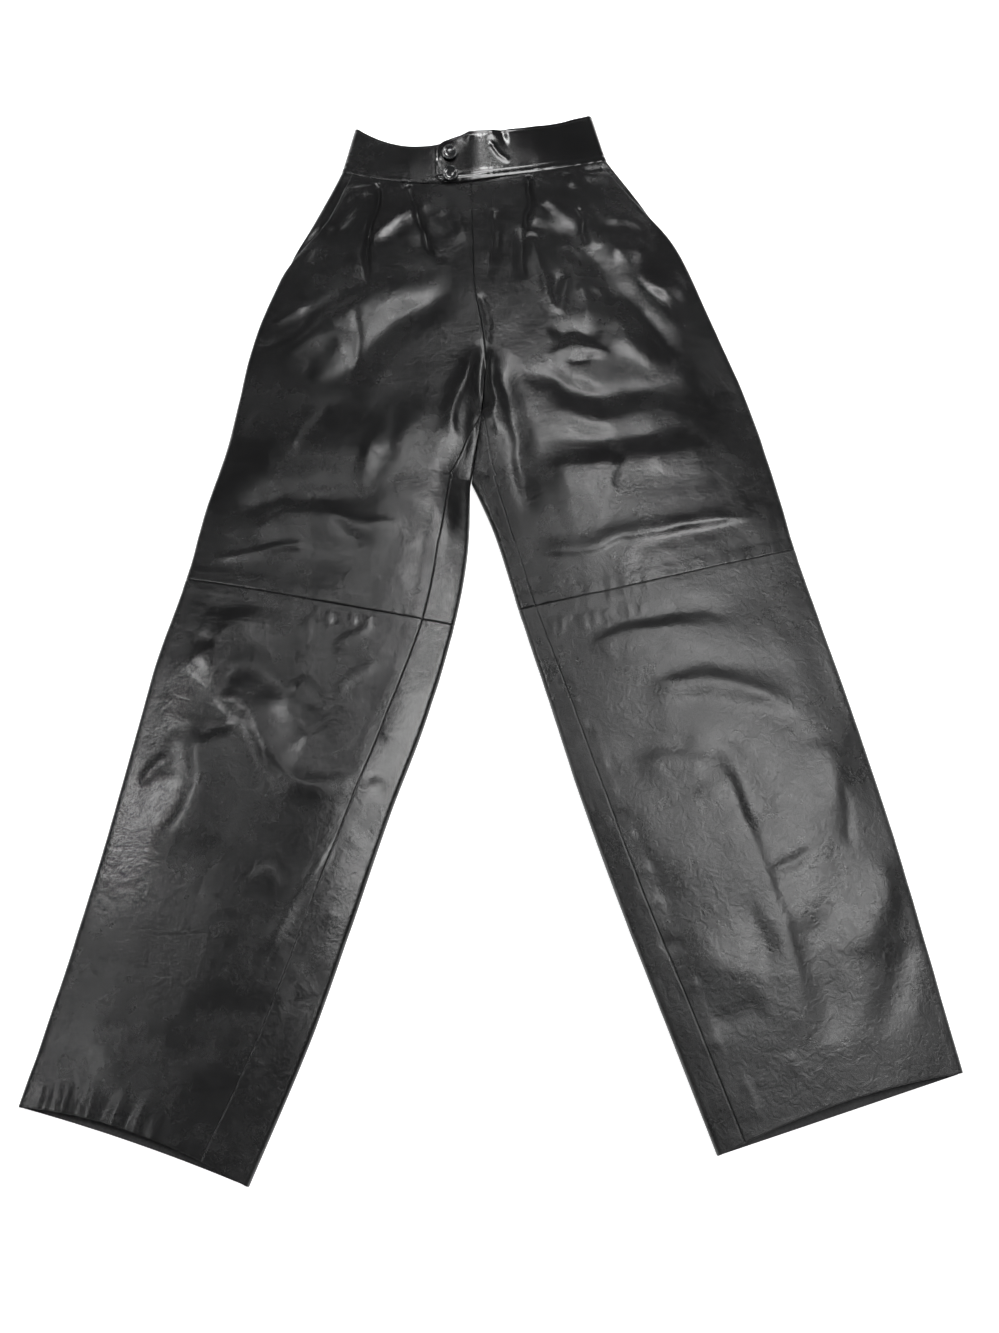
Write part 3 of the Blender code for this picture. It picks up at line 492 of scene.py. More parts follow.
def curve_through(path, steps=7):
    """Points of a smooth curve through the path's own points."""
    points = np.array(path)
    padded = np.vstack([2.0 * points[0] - points[1], points, 2.0 * points[-1] - points[-2]])
    made = []
    for i in range(len(points) - 1):
        for step in np.arange(steps) / steps:
            made.append(catmull_rom(padded[i], padded[i + 1], padded[i + 2], padded[i + 3], step))
    made.append(points[-1])
    return np.array(made)


def crease_height(crease, x, y):
    """The height of one crease at places in plan."""
    line = curve_through(crease.path)
    reach = 3.0 * max(crease.port, crease.starboard)
    total = np.zeros(x.shape)
    near = ((x > line[:, 0].min() - reach) & (x < line[:, 0].max() + reach)
            & (y > line[:, 1].min() - reach) & (y < line[:, 1].max() + reach))
    if not near.any():
        return total
    px = x[near][:, None]
    py = y[near][:, None]
    run = line[1:] - line[:-1]
    length = np.hypot(run[:, 0], run[:, 1])
    done = np.concatenate([[0.0], np.cumsum(length)[:-1]])
    dx = px - line[None, :-1, 0]
    dy = py - line[None, :-1, 1]
    along = np.clip((dx * run[:, 0] + dy * run[:, 1]) / length ** 2, 0.0, 1.0)
    away = np.hypot(dx - along * run[:, 0], dy - along * run[:, 1])
    side = run[:, 0] * dy - run[:, 1] * dx
    closest = away.argmin(axis=1)
    rows = np.arange(len(closest))
    distance = away[rows, closest]
    width = np.where(side[rows, closest] > 0.0, crease.port, crease.starboard)
    share = (done[closest] + along[rows, closest] * length[closest]) / length.sum()
    fade = np.ones(share.shape)
    if crease.fade_in:
        fade *= smoothstep(share / crease.fade_in)
    if crease.fade_out:
        fade *= smoothstep((1.0 - share) / crease.fade_out)
    total[near] = crease.rise * fade * np.exp(-(distance / width) ** 2)
    return total


def swell_height(swell, x, y):
    angle = math.radians(swell.angle)
    dx = x - swell.x
    dy = y - swell.y
    along = (dx * math.cos(angle) + dy * math.sin(angle)) / swell.along
    across = (dy * math.cos(angle) - dx * math.sin(angle)) / swell.across
    return swell.rise * np.exp(-along ** 2 - across ** 2)


def top_relief(x, y):
    """Every crease and swell of the upper side together."""
    bent_x = x + 0.32 * value_noise(x / 2.4, y / 2.4, 21.0)
    bent_y = y + 0.32 * value_noise(x / 2.4, y / 2.4, 22.0)
    total = sum(crease_height(crease, bent_x, bent_y) for crease in FRONT_CREASES)
    total *= 1.0 + 0.22 * value_noise(x / 3.0, y / 3.0, 23.0)
    total += sum(swell_height(swell, x, y) for swell in SWELLS)
    total += 0.10 * value_noise(x / 7.0, y / 9.0, 1.0)
    total += 0.035 * value_noise(x / 2.6, y / 3.2, 2.0)
    return total


def skin_relief(x, y):
    """Fine crinkles and dents, in the outer face only."""
    dents = 0.016 * value_noise(x / 1.5, y / 1.9, 3.0)
    fine = 0.007 * value_noise(x / 0.8, y / 1.0, 4.0)
    patchy = smoothstep(0.6 + 0.8 * value_noise(x / 5.0, y / 5.0, 5.0))
    return dents + fine * patchy


def back_relief(x, y):
    total = sum(crease_height(crease, x, y) for crease in BACK_CREASES)
    swelling = 0.5 + 0.5 * value_noise(x / 6.0, y / 7.0, 6.0)
    return total + 0.05 * swelling


def band_relief(x, y):
    total = sum(crease_height(crease, x, y) for crease in BAND_CREASES)
    return total + 0.05 * value_noise(x / 2.4, y / 3.0, 7.0)


# ---------------------------------------------------------------------------------------------
# Shells
# ---------------------------------------------------------------------------------------------

FINE_STEPS = np.array([0.0, 0.025, 0.055, 0.095, 0.15, 0.22, 0.31, 0.43, 0.57, 0.73, 0.91, 1.1])


def spread_columns(start, end, spacing):
    """Distances between two lines, closer together near both, one row for each station."""
    room = (end - start) / 2.0
    squeeze = np.minimum(1.0, room / (FINE_STEPS[-1] * 1.15))
    head = start[:, None] + FINE_STEPS[None, :] * squeeze[:, None]
    tail = end[:, None] - FINE_STEPS[None, ::-1] * squeeze[:, None]
    count = max(int(np.max(end - start - 2.0 * FINE_STEPS[-1]) / spacing), 2)
    share = (np.arange(1, count) / count)[None, :]
    middle = head[:, -1:] * (1.0 - share) + tail[:, :1] * share
    return np.hstack([head, middle, tail])


def spread_rows(start, end, spacing, row_length, keep=()):
    """Stations from start to end, closer together near both ends."""
    fine = FINE_STEPS / row_length
    count = max(int(((end - start) - 2.0 * fine[-1]) * row_length / spacing), 2)
    middle = np.linspace(start + fine[-1], end - fine[-1], count + 1)[1:-1]
    rows = np.concatenate([start + fine, middle, end - fine[::-1]])
    for station in keep:
        rows = rows[np.abs(rows - station) > 0.25 * spacing / row_length]
        rows = np.append(rows, station)
    return np.sort(rows)


def rolled(distance):
    """How a panel turns down into a seam: a groove, then the allowance pressed flat beneath."""
    return (-0.055 * np.exp(-(distance / 0.055) ** 2)
            + 0.022 * (1.0 - smoothstep((distance - 1.0) / 0.5)))


def rounded(distance):
    """The softened corner of a cut or folded edge."""
    return -0.05 * np.exp(-(distance / 0.07) ** 2)


Grid = namedtuple("Grid", "points lift skin thick flip")


def in_frame(points):
    """The tables' coordinates, in centimetres, as the frame's, in metres."""
    return (points - np.array([MIDDLE[0], MIDDLE[1], 0.0])) * CM


def smooth_mesh(name, vertices, faces, materials):
    mesh = bpy.data.meshes.new(name)
    mesh.from_pydata(vertices.tolist(), [], [list(face) for face in faces])
    for material in materials:
        mesh.materials.append(material)
    mesh.polygons.foreach_set("use_smooth", np.ones(len(mesh.polygons), dtype=bool))
    return mesh


def link(name, data):
    made = bpy.data.objects.new(name, data)
    bpy.context.scene.collection.objects.link(made)
    return made


def add_piece(name, mesh):
    mesh.update()
    made = link(name, mesh)
    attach(made, "root")
    return made


def grid(points, lift, skin, thick, flip):
    shape = points.shape[:2]
    return Grid(points, np.broadcast_to(lift, shape), np.broadcast_to(skin, shape),
                np.broadcast_to(thick, shape), flip)


def shell(name, grids, materials):
    """A closed shell over one or more grids, which are joined where their points meet."""
    points = np.vstack([g.points.reshape(-1, 3) for g in grids])
    lift = np.concatenate([g.lift.ravel() for g in grids])
    skin = np.concatenate([g.skin.ravel() for g in grids])
    thick = np.concatenate([g.thick.ravel() for g in grids])
    quads = []
    offset = 0
    for g in grids:
        rows, columns = g.points.shape[:2]
        index = np.arange(rows * columns).reshape(rows, columns) + offset
        corners = [index[:-1, :-1], index[:-1, 1:], index[1:, 1:], index[1:, :-1]]
        if g.flip:
            corners.reverse()
        quads.append(np.stack([c.ravel() for c in corners], axis=1))
        offset += rows * columns
    quads = np.vstack(quads)
    keys = np.round(points * 1000.0).astype(np.int64)
    _, first, where = np.unique(keys, axis=0, return_index=True, return_inverse=True)
    where = where.ravel()
    points, lift, skin, thick = points[first], lift[first], skin[first], thick[first]
    quads = where[quads]
    distinct = np.array([len(set(q)) for q in quads.tolist()])
    quads = quads[distinct == 4]
    diagonal_a = points[quads[:, 2]] - points[quads[:, 0]]
    diagonal_b = points[quads[:, 3]] - points[quads[:, 1]]
    face_normals = np.cross(diagonal_a, diagonal_b)
    normals = np.zeros(points.shape)
    for corner in range(4):
        np.add.at(normals, quads[:, corner], face_normals)
    normals /= np.maximum(np.linalg.norm(normals, axis=1), 1e-9)[:, None]
    outer = points + normals * (lift + skin)[:, None]
    inner = points + normals * (lift - thick)[:, None]
    outer[:, 2] = np.maximum(outer[:, 2], 0.0)
    count = len(points)
    starts = quads.ravel()
    ends = np.roll(quads, -1, axis=1).ravel()
    open_edge = ~np.isin(ends * count + starts, starts * count + ends)
    a, b = starts[open_edge], ends[open_edge]
    rims = np.stack([b, a, a + count, b + count], axis=1)
    faces = np.vstack([quads, quads[:, ::-1] + count, rims]).tolist()
    slots = np.concatenate([np.zeros(len(quads)), np.ones(len(quads)), np.full(len(rims), 2)])
    mesh = smooth_mesh(name, in_frame(np.vstack([outer, inner])), faces, materials)
    slots = np.minimum(slots, len(materials) - 1).astype(np.int32)
    mesh.polygons.foreach_set("material_index", slots)
    mesh.set_sharp_from_angle(angle=SHARP_ANGLE)
    return add_piece(name, mesh)


# ---------------------------------------------------------------------------------------------
# Leather, thread, cloth and buttons
# ---------------------------------------------------------------------------------------------

def node(tree, kind, **values):
    made = tree.nodes.new(kind)
    for key, value in values.items():
        setattr(made, key, value)
    return made


def noise_texture(tree, scale, detail, roughness=0.5, distortion=0.0):
    coordinates = tree.nodes.get("Coordinates")
    texture = node(tree, "ShaderNodeTexNoise")
    texture.inputs["Scale"].default_value = scale
    texture.inputs["Detail"].default_value = detail
    texture.inputs["Roughness"].default_value = roughness
    texture.inputs["Distortion"].default_value = distortion
    tree.links.new(coordinates.outputs["Object"], texture.inputs["Vector"])
    return texture.outputs["Fac"]


def cell_texture(tree, scale, feature, randomness=1.0):
    coordinates = tree.nodes.get("Coordinates")
    texture = node(tree, "ShaderNodeTexVoronoi", feature=feature)
    texture.inputs["Scale"].default_value = scale
    texture.inputs["Randomness"].default_value = randomness
    tree.links.new(coordinates.outputs["Object"], texture.inputs["Vector"])
    return texture.outputs["Distance"]


def remap(tree, value, low, high, to_low, to_high):
    made = node(tree, "ShaderNodeMapRange", interpolation_type="SMOOTHSTEP")
    made.inputs["From Min"].default_value = low
    made.inputs["From Max"].default_value = high
    made.inputs["To Min"].default_value = to_low
    made.inputs["To Max"].default_value = to_high
    tree.links.new(value, made.inputs["Value"])
    return made.outputs["Result"]


def blend_colours(tree, factor, first, second):
    made = node(tree, "ShaderNodeMix", data_type="RGBA")
    tree.links.new(factor, made.inputs["Factor"])
    for socket, colour in ((made.inputs[6], first), (made.inputs[7], second)):
        if isinstance(colour, tuple):
            socket.default_value = (*colour, 1.0)
        else:
            tree.links.new(colour, socket)
    return made.outputs[2]


def combine(tree, operation, first, second):
    made = node(tree, "ShaderNodeMath", operation=operation)
    for socket, value in ((made.inputs[0], first), (made.inputs[1], second)):
        if isinstance(value, float):
            socket.default_value = value
        else:
            tree.links.new(value, socket)
    return made.outputs[0]


def bump(tree, height, strength, distance, below=None):
    made = node(tree, "ShaderNodeBump")
    made.inputs["Strength"].default_value = strength
    made.inputs["Distance"].default_value = distance
    tree.links.new(height, made.inputs["Height"])
    if below is not None:
        tree.links.new(below, made.inputs["Normal"])
    return made.outputs["Normal"]


def new_material(name):
    made = bpy.data.materials.new(name)
    made.use_nodes = True
    tree = made.node_tree
    node(tree, "ShaderNodeTexCoord", name="Coordinates")
    return made, tree, tree.nodes["Principled BSDF"]


def leather(name, dark, light, rough_low, rough_high, coat=0.0, crinkle=0.35, pebble=0.35):
    """Smooth black nappa: a fine pebbled grain, soft creasing, and a finish worn in patches whose
    lighter colour is partly painted sheen.
    """
    made, tree, shader = new_material(name)
    broad = noise_texture(tree, 11.0, 3.0, 0.55)
    middling = noise_texture(tree, 62.0, 4.0, 0.6)
    # Where this mask is high the colour turns lighter: partly a worn, duller finish, partly painted
    # sheen standing in for soft reflections.
    worn_and_sheen_mask = remap(tree, combine(tree, "ADD", broad, combine(tree, "MULTIPLY", middling, 0.35)),
                 0.48, 0.88, 0.0, 1.0)
    colour = blend_colours(tree, worn_and_sheen_mask, dark, light)
    pores = cell_texture(tree, 980.0, "DISTANCE_TO_EDGE")
    valleys = remap(tree, pores, 0.0, 0.16, 0.0, 1.0)
    colour = blend_colours(tree, valleys, tuple(0.55 * c for c in dark), colour)
    tree.links.new(colour, shader.inputs["Base Color"])
    rough = remap(tree, combine(tree, "ADD", broad, combine(tree, "MULTIPLY", middling, 0.5)),
                  0.45, 1.05, rough_low, rough_high)
    tree.links.new(rough, shader.inputs["Roughness"])
    creasing = noise_texture(tree, 110.0, 2.0, 0.6, 0.8)
    pebbled = noise_texture(tree, 420.0, 1.0, 0.5)
    normal = bump(tree, creasing, crinkle, 0.0008)
    normal = bump(tree, pebbled, 0.30, 0.00022, normal)
    normal = bump(tree, valleys, pebble, 0.00008, normal)
    tree.links.new(normal, shader.inputs["Normal"])
    shader.inputs["Specular IOR Level"].default_value = 0.5
    shader.inputs["Coat Weight"].default_value = coat
    shader.inputs["Coat Roughness"].default_value = 0.22
    return made


def suede(name, dark, light):
    """The flesh side of the leather."""
    made, tree, shader = new_material(name)
    nap = noise_texture(tree, 420.0, 5.0, 0.7)
    streaks = noise_texture(tree, 40.0, 3.0, 0.6, 1.0)
    mixed = combine(tree, "ADD", nap, combine(tree, "MULTIPLY", streaks, 0.6))
    tree.links.new(blend_colours(tree, remap(tree, mixed, 0.5, 1.1, 0.0, 1.0), dark, light),
                   shader.inputs["Base Color"])
    shader.inputs["Roughness"].default_value = 0.92
    shader.inputs["Sheen Weight"].default_value = 0.25
    shader.inputs["Sheen Roughness"].default_value = 0.5
    tree.links.new(bump(tree, nap, 0.6, 0.0004), shader.inputs["Normal"])
    return made


def woven(name, direction, scale, dark, light, rough, strength, distance):
    """Twisted thread, or the zip's tape."""
    made, tree, shader = new_material(name)
    wave = node(tree, "ShaderNodeTexWave", bands_direction=direction)
    wave.inputs["Scale"].default_value = scale
    tree.links.new(tree.nodes["Coordinates"].outputs["Object"], wave.inputs["Vector"])
    tree.links.new(blend_colours(tree, wave.outputs["Fac"], dark, light),
                   shader.inputs["Base Color"])
    shader.inputs["Roughness"].default_value = rough
    tree.links.new(bump(tree, wave.outputs["Fac"], strength, distance), shader.inputs["Normal"])
    return made


def polished(name):
    """Black button: hard and glossy, with fine handling marks."""
    made, tree, shader = new_material(name)
    marks = noise_texture(tree, 1400.0, 3.0, 0.6, 2.0)
    tree.links.new(blend_colours(tree, marks, (0.008, 0.008, 0.009), (0.022, 0.022, 0.024)),
                   shader.inputs["Base Color"])
    tree.links.new(remap(tree, marks, 0.35, 0.7, 0.08, 0.22), shader.inputs["Roughness"])
    shader.inputs["Coat Weight"].default_value = 0.6
    shader.inputs["Coat Roughness"].default_value = 0.06
    tree.links.new(bump(tree, marks, 0.08, 0.0001), shader.inputs["Normal"])
    return made


OUTSIDE = leather("leather_black", (0.008, 0.008, 0.0083), (0.018, 0.018, 0.0185), 0.17, 0.31,
                  crinkle=0.45)
# A lighter copy of the leather for the wearer's left shin: partly its own lighter tone, partly
# painted light standing in for the light that shin catches.
LIGHTER_AND_PAINTED_LIT = leather("leather_black_lighter_and_painted_lit", (0.014, 0.014, 0.0143), (0.030, 0.030, 0.0305),
                  0.22, 0.38, crinkle=0.6, pebble=0.5)
GLOSSY = leather("leather_black_glossy", (0.005, 0.005, 0.0053), (0.011, 0.011, 0.0113),
                 0.10, 0.18, coat=0.25, crinkle=0.12, pebble=0.10)
INSIDE = suede("suede_inside", (0.030, 0.030, 0.031), (0.060, 0.060, 0.061))
CUT = suede("leather_cut_edge", (0.010, 0.010, 0.0105), (0.024, 0.024, 0.0245))
THREAD = woven("thread_black", "DIAGONAL", 900.0, (0.012, 0.012, 0.013),
               (0.035, 0.035, 0.037), 0.5, 0.4, 0.0001)
BUTTON = polished("button_black")
ZIP = woven("zip_cloth_black", "Y", 700.0, (0.010, 0.010, 0.011),
            (0.030, 0.030, 0.032), 0.8, 0.5, 0.0002)


# ---------------------------------------------------------------------------------------------
# Panels
# ---------------------------------------------------------------------------------------------

def pucker(x, distance, seed, size=0.045, reach=1.1):
    """Small gathers that a seam draws into the leather next to it."""
    wave = value_noise(x / 0.75, np.full(x.shape, 0.5), seed)
    wave += 0.6 * value_noise(x / 0.34, np.full(x.shape, 3.5), seed + 1.0)
    return size * wave * np.exp(-distance / reach)


def top_lift(points, free, station):
    """The creases of the upper side, dying away where the panels are sewn to the waistband."""
    x = points[..., 0]
    y = points[..., 1]
    from_waist = station * UPPER_ROW
    lift = top_relief(x, y) * free * smoothstep(from_waist / 1.0)
    lift += pucker(x, from_waist, 11.0, 0.06) * free
    lift += pucker(x, np.abs(station - KNEE) * 8.5, 13.0, 0.045) * free
    lift += 0.035 * value_noise(x / 3.5, y / 3.5, 15.0)
    return lift


def bottom_lift(points, free):
    return -back_relief(points[..., 0], points[..., 1]) * free


def hem_thickness(station):
    """The wall, doubled where the hem is turned up inside."""
    from_hem = (HEM - station) * LOWER_ROW
    return LEATHER + HEM_TURN_THICK * smoothstep((HEM_TURN - from_hem) / 0.15)


def end_relief(stations, station, upper):
    """What a panel's upper and lower ends add: a seam's groove, or a hem's softened fold."""
    row_length = UPPER_ROW if upper else LOWER_ROW
    from_end = (stations[-1] - station) * row_length
    ending = rolled(from_end) if upper else rounded(from_end)
    return rolled((station - stations[0]) * row_length) + ending


def leg_stations(upper, spacing):
    if upper:
        return spread_rows(WAIST + SEAM_STATION, KNEE - KNEE_STATION, spacing, UPPER_ROW,
                           (CROTCH, GAP_TOP - GAP_STATION, GAP_TOP))
    return spread_rows(KNEE + KNEE_STATION, HEM, spacing, LOWER_ROW)


def front_panel(name, side, upper, spacing, material):
    stations = leg_stations(upper, spacing)
    row = read(side, stations)
    full = around_full(side, stations)
    around = spread_columns(SEAM_GAP / 2.0 + row["mouth"], full - row["wrap"] - SEAM_GAP / 2.0,
                            spacing)
    station = np.broadcast_to(stations[:, None], around.shape)
    points, free = place(side, station, True, around)
    lift = top_lift(points, free, station)
    skin = end_relief(stations, station, upper)
    skin = skin + rolled(around[:, -1:] - around) + rolled(around - around[:, :1])
    skin = skin + skin_relief(points[..., 0], points[..., 1])
    return shell(name, [grid(points, lift, skin, hem_thickness(station), side == "right")],
                 [material, INSIDE, CUT])


def back_grid(side, upper, top, stations, rows, spacing):
    """The part of a back that lies beneath, or on top the strip round the inner leg."""
    full = around_full(side, rows)
    folded = rows >= GAP_TOP
    start = np.full(rows.shape, SEAM_GAP / 2.0)
    if top:
        start = full - read(side, rows)["wrap"] + SEAM_GAP / 2.0
    around = spread_columns(start, full - np.where(folded, 0.0, SEAM_GAP / 2.0), spacing)
    station = np.broadcast_to(rows[:, None], around.shape)
    points, free = place(side, station, top, around)
    skin = end_relief(stations, station, upper) + rolled(around - around[:, :1])
    inseam = np.where(folded[:, None], 0.0, rolled(around[:, -1:] - around))
    if top:
        lift = top_lift(points, free, station)
        skin = skin + skin_relief(points[..., 0], points[..., 1]) + inseam
    else:
        lift = bottom_lift(points, free)
        skin = np.minimum(np.minimum(skin, 0.0) + inseam, 0.0)
    flip = (side == "left") != top
    return grid(points, lift, skin, hem_thickness(station), flip)


def back_panel(name, side, upper, spacing, material):
    stations = leg_stations(upper, spacing)
    on_top = stations[stations >= CROTCH]
    under = back_grid(side, upper, False, stations, stations, spacing)
    strip = back_grid(side, upper, True, stations, on_top, spacing * 0.8)
    return shell(name, [under, strip], [material, INSIDE, CUT])


def pocket_facing(name, side, spacing):
    stations = spread_rows(WAIST + SEAM_STATION, HIP_END, spacing, UPPER_ROW)
    mouth = read(side, stations)["mouth"]
    around = spread_columns(np.full(stations.shape, SEAM_GAP / 2.0), mouth + FACING_UNDERLAP,
                            spacing)
    station = np.broadcast_to(stations[:, None], around.shape)
    points, free = place(side, station, True, around)
    under = LEATHER + FACING_CLEARANCE
    depth = under * smoothstep((around - mouth[:, None] + 0.9) / 0.6)
    lift = top_lift(points, free, station) - depth
    skin = rolled(around - around[:, :1]) + rolled((station - stations[0]) * UPPER_ROW)
    return shell(name, [grid(points, lift, skin, LEATHER, side == "right")],
                 [OUTSIDE, INSIDE, CUT])


def band_rows(spacing):
    return -spread_rows(SEAM_STATION, 1.0, spacing, BAND_WIDTH)[::-1]


def band_skin(station, strip=0.72):
    """The band's edges, and the stitched line that runs along its seam."""
    from_seam = -station * BAND_WIDTH
    from_edge = (1.0 + station) * BAND_WIDTH
    skin = rolled(from_seam) + rounded(from_edge)
    skin = skin - 0.06 * np.exp(-((from_seam - strip) / 0.09) ** 2)
    skin = skin + 0.05 * np.exp(-((from_seam - strip * 0.55) / 0.20) ** 2)
    return skin - 0.03 * np.exp(-((from_edge - 0.35) / 0.09) ** 2)


def band_lift(points, free, station):
    x = points[..., 0]
    inside = smoothstep(-station * BAND_WIDTH / 1.2)
    lift = band_relief(x, points[..., 1]) * inside * free
    return lift + pucker(x, -station * BAND_WIDTH, 17.0, 0.05, 0.9) * free


def band_grid(side, top, spacing, short):
    """One side of the band, from its side seam to the centre line or so much short of it."""
    stations = band_rows(spacing)
    around = spread_columns(np.full(stations.shape, SEAM_GAP / 2.0),
                            around_full(side, stations) - short, spacing)
    station = np.broadcast_to(stations[:, None], around.shape)
    points, free = place(side, station, top, around)
    lift = band_lift(points, free, station) if top else np.zeros(station.shape)
    return around, points, lift, band_skin(station)


def waistband_back(name, spacing):
    grids = []
    for side in ("right", "left"):
        around, points, lift, skin = band_grid(side, False, spacing, 0.0)
        skin = np.minimum(skin + rolled(around - around[:, :1]), 0.0)
        grids.append(grid(points, lift, skin, BAND_LEATHER, side == "left"))
    return shell(name, grids, [OUTSIDE, INSIDE, CUT])


def waistband_right(name, spacing):
    around, points, lift, skin = band_grid("right", True, spacing, SEAM_GAP / 2.0)
    skin = skin + rolled(around - around[:, :1]) + rounded(around[:, -1:] - around)
    return shell(name, [grid(points, lift, skin, BAND_LEATHER, True)], [OUTSIDE, INSIDE, CUT])


def tab_reach(share):
    from_edge = np.minimum(share, 1.0 - share) * BAND_WIDTH
    inset = np.maximum(TAB_CORNER - from_edge, 0.0)
    return BAND_FRONT_TAB - TAB_CORNER + np.sqrt(np.maximum(TAB_CORNER ** 2 - inset ** 2, 0.0))


def waistband_left(name, spacing):
    raised = BAND_LEATHER + TAB_CLEARANCE
    stations = band_rows(spacing)
    around, points, lift, skin = band_grid("left", True, spacing, 0.0)
    lift = lift + raised * smoothstep((around - around[:, -1:] + TAB_RAMP) / TAB_RAMP)
    skin = skin + rolled(around - around[:, :1])
    full = around_full("right", stations)
    reach = tab_reach(-stations)
    past = spread_columns(np.zeros(stations.shape), reach, spacing)
    tab_station = np.broadcast_to(stations[:, None], past.shape)
    tab_points, free = place("right", tab_station, True, full[:, None] - past)
    tab_lift = band_lift(tab_points, free, tab_station) + raised
    half = grid(points, lift, skin, BAND_LEATHER, False)
    tab_skin = band_skin(tab_station) + rounded(reach[:, None] - past)
    tab_skin = tab_skin - 0.03 * np.exp(-((reach[:, None] - past - 0.35) / 0.09) ** 2)
    tab = grid(tab_points, tab_lift, tab_skin, BAND_LEATHER, False)
    return shell(name, [half, tab], [GLOSSY, INSIDE, CUT])


def fly_piece(name, width, depth, thickness, spacing, materials):
    stations = spread_rows(FLY_START, FLY_END, spacing, UPPER_ROW)
    grids = []
    for side in ("right", "left"):
        full = around_full(side, stations)
        around = spread_columns(full - width / 2.0, full, spacing)
        station = np.broadcast_to(stations[:, None], around.shape)
        points, free = place(side, station, True, around)
        lift = top_lift(points, free, station) - depth
        grids.append(grid(points, lift, 0.0, thickness, side == "right"))
    return shell(name, grids, materials)


# ---------------------------------------------------------------------------------------------
# Buttons and stitching
# ---------------------------------------------------------------------------------------------

def relieved(side, station, around):
    """Places on the upper side as the shells have them, with the form's normals, in cm."""
    station = np.asarray(station, dtype=float)
    around = np.asarray(around, dtype=float)
    points, free = place(side, station, True, around)
    across = place(side, station, True, around + 0.02)[0] - place(
        side, station, True, around - 0.02)[0]
    down = place(side, station + 0.003, True, around)[0] - place(
        side, station - 0.003, True, around)[0]
    normals = np.cross(across, down)
    normals *= np.sign(normals[..., 2:])
    normals /= np.linalg.norm(normals, axis=-1)[..., None]
    on_band = station < WAIST
    lift = np.where(on_band, band_lift(points, free, station), top_lift(points, free, station))
    return points, normals, lift


BUTTON_TURNS = 56
# Half of the button's outline, from the middle of its dish over the rim to the foot of its neck:
# how far out, as a share of its radius, and the height in centimetres.
BUTTON_PROFILE = (
    (0.0, 0.300), (0.20, 0.302), (0.40, 0.308), (0.55, 0.322), (0.66, 0.350), (0.72, 0.385),
    (0.78, 0.420), (0.84, 0.441), (0.90, 0.448), (0.95, 0.436), (0.985, 0.405), (1.0, 0.360),
    (1.0, 0.310), (0.985, 0.265), (0.94, 0.225), (0.86, 0.200), (0.60, 0.180), (0.45, 0.160),
    (0.42, 0.080), (0.42, -0.060), (0.0, -0.060),
)
STITCH_PITCH = 0.34
STITCH_LENGTH = 0.26
STITCH_RADIUS = 0.032
STITCH_RING = 6
# Along a stitch: the share of its length, how full it is, and how far it dips.
STITCH_PROFILE = ((-0.5, 0.15, -0.035), (-0.34, 0.8, -0.008), (0.0, 1.0, 0.0),
                  (0.34, 0.8, -0.008), (0.5, 0.15, -0.035))
# The fly's stitching, which turns in to the foot of the opening: stations, and how far from it.
FLY_STITCH_STATIONS = (0.06, 1.2, 1.6, 1.85, 2.0, 2.05)
FLY_STITCH_OFFSETS = (2.6, 2.45, 2.1, 1.5, 0.7, 0.15)
BAR_TACK_STATIONS = (2.04, 2.047, 2.054, 2.061)


def stitch_row(side, stations, arounds, sunk):
    """Middles, directions and normals of the stitches along a line of places, in centimetres."""
    points, normals, lift = relieved(side, stations, arounds)
    line = points + normals * (lift - sunk)[:, None]
    steps = np.linalg.norm(np.diff(line, axis=0), axis=1)
    done = np.concatenate([[0.0], np.cumsum(steps)])
    places = np.arange(STITCH_PITCH, done[-1] - STITCH_PITCH / 2.0, STITCH_PITCH)
    middles = np.stack([np.interp(places, done, line[:, c]) for c in range(3)], axis=1)
    ahead = np.stack([np.interp(places + 0.1, done, line[:, c]) for c in range(3)], axis=1)
    facing = np.stack([np.interp(places, done, normals[:, c]) for c in range(3)], axis=1)
    return middles, ahead - middles, facing


def stitches(name, rows):
    """Many stitches as one mesh, each a short thread that dips into the leather at its ends."""
    vertices = []
    faces = []
    for middles, directions, facing in rows:
        for middle, along, up in zip(middles, directions, facing):
            along = along / np.linalg.norm(along)
            sideways = np.cross(along, up)
            sideways /= np.linalg.norm(sideways)
            up = np.cross(sideways, along)
            base = len(vertices)
            for share, fullness, dip in STITCH_PROFILE:
                centre = middle + along * share * STITCH_LENGTH + up * dip
                for k in range(STITCH_RING):
                    angle = 2.0 * math.pi * k / STITCH_RING
                    out = sideways * math.cos(angle) + up * math.sin(angle)
                    vertices.append(centre + out * STITCH_RADIUS * fullness)
            for r in range(len(STITCH_PROFILE) - 1):
                for k in range(STITCH_RING):
                    a = base + r * STITCH_RING + k
                    b = base + r * STITCH_RING + (k + 1) % STITCH_RING
                    faces.append((a, b, b + STITCH_RING, a + STITCH_RING))
            faces.append(tuple(base + k for k in range(STITCH_RING))[::-1])
            last = base + (len(STITCH_PROFILE) - 1) * STITCH_RING
            faces.append(tuple(last + k for k in range(STITCH_RING)))
    made = add_piece(name, smooth_mesh(name, in_frame(np.array(vertices)), faces, [THREAD]))


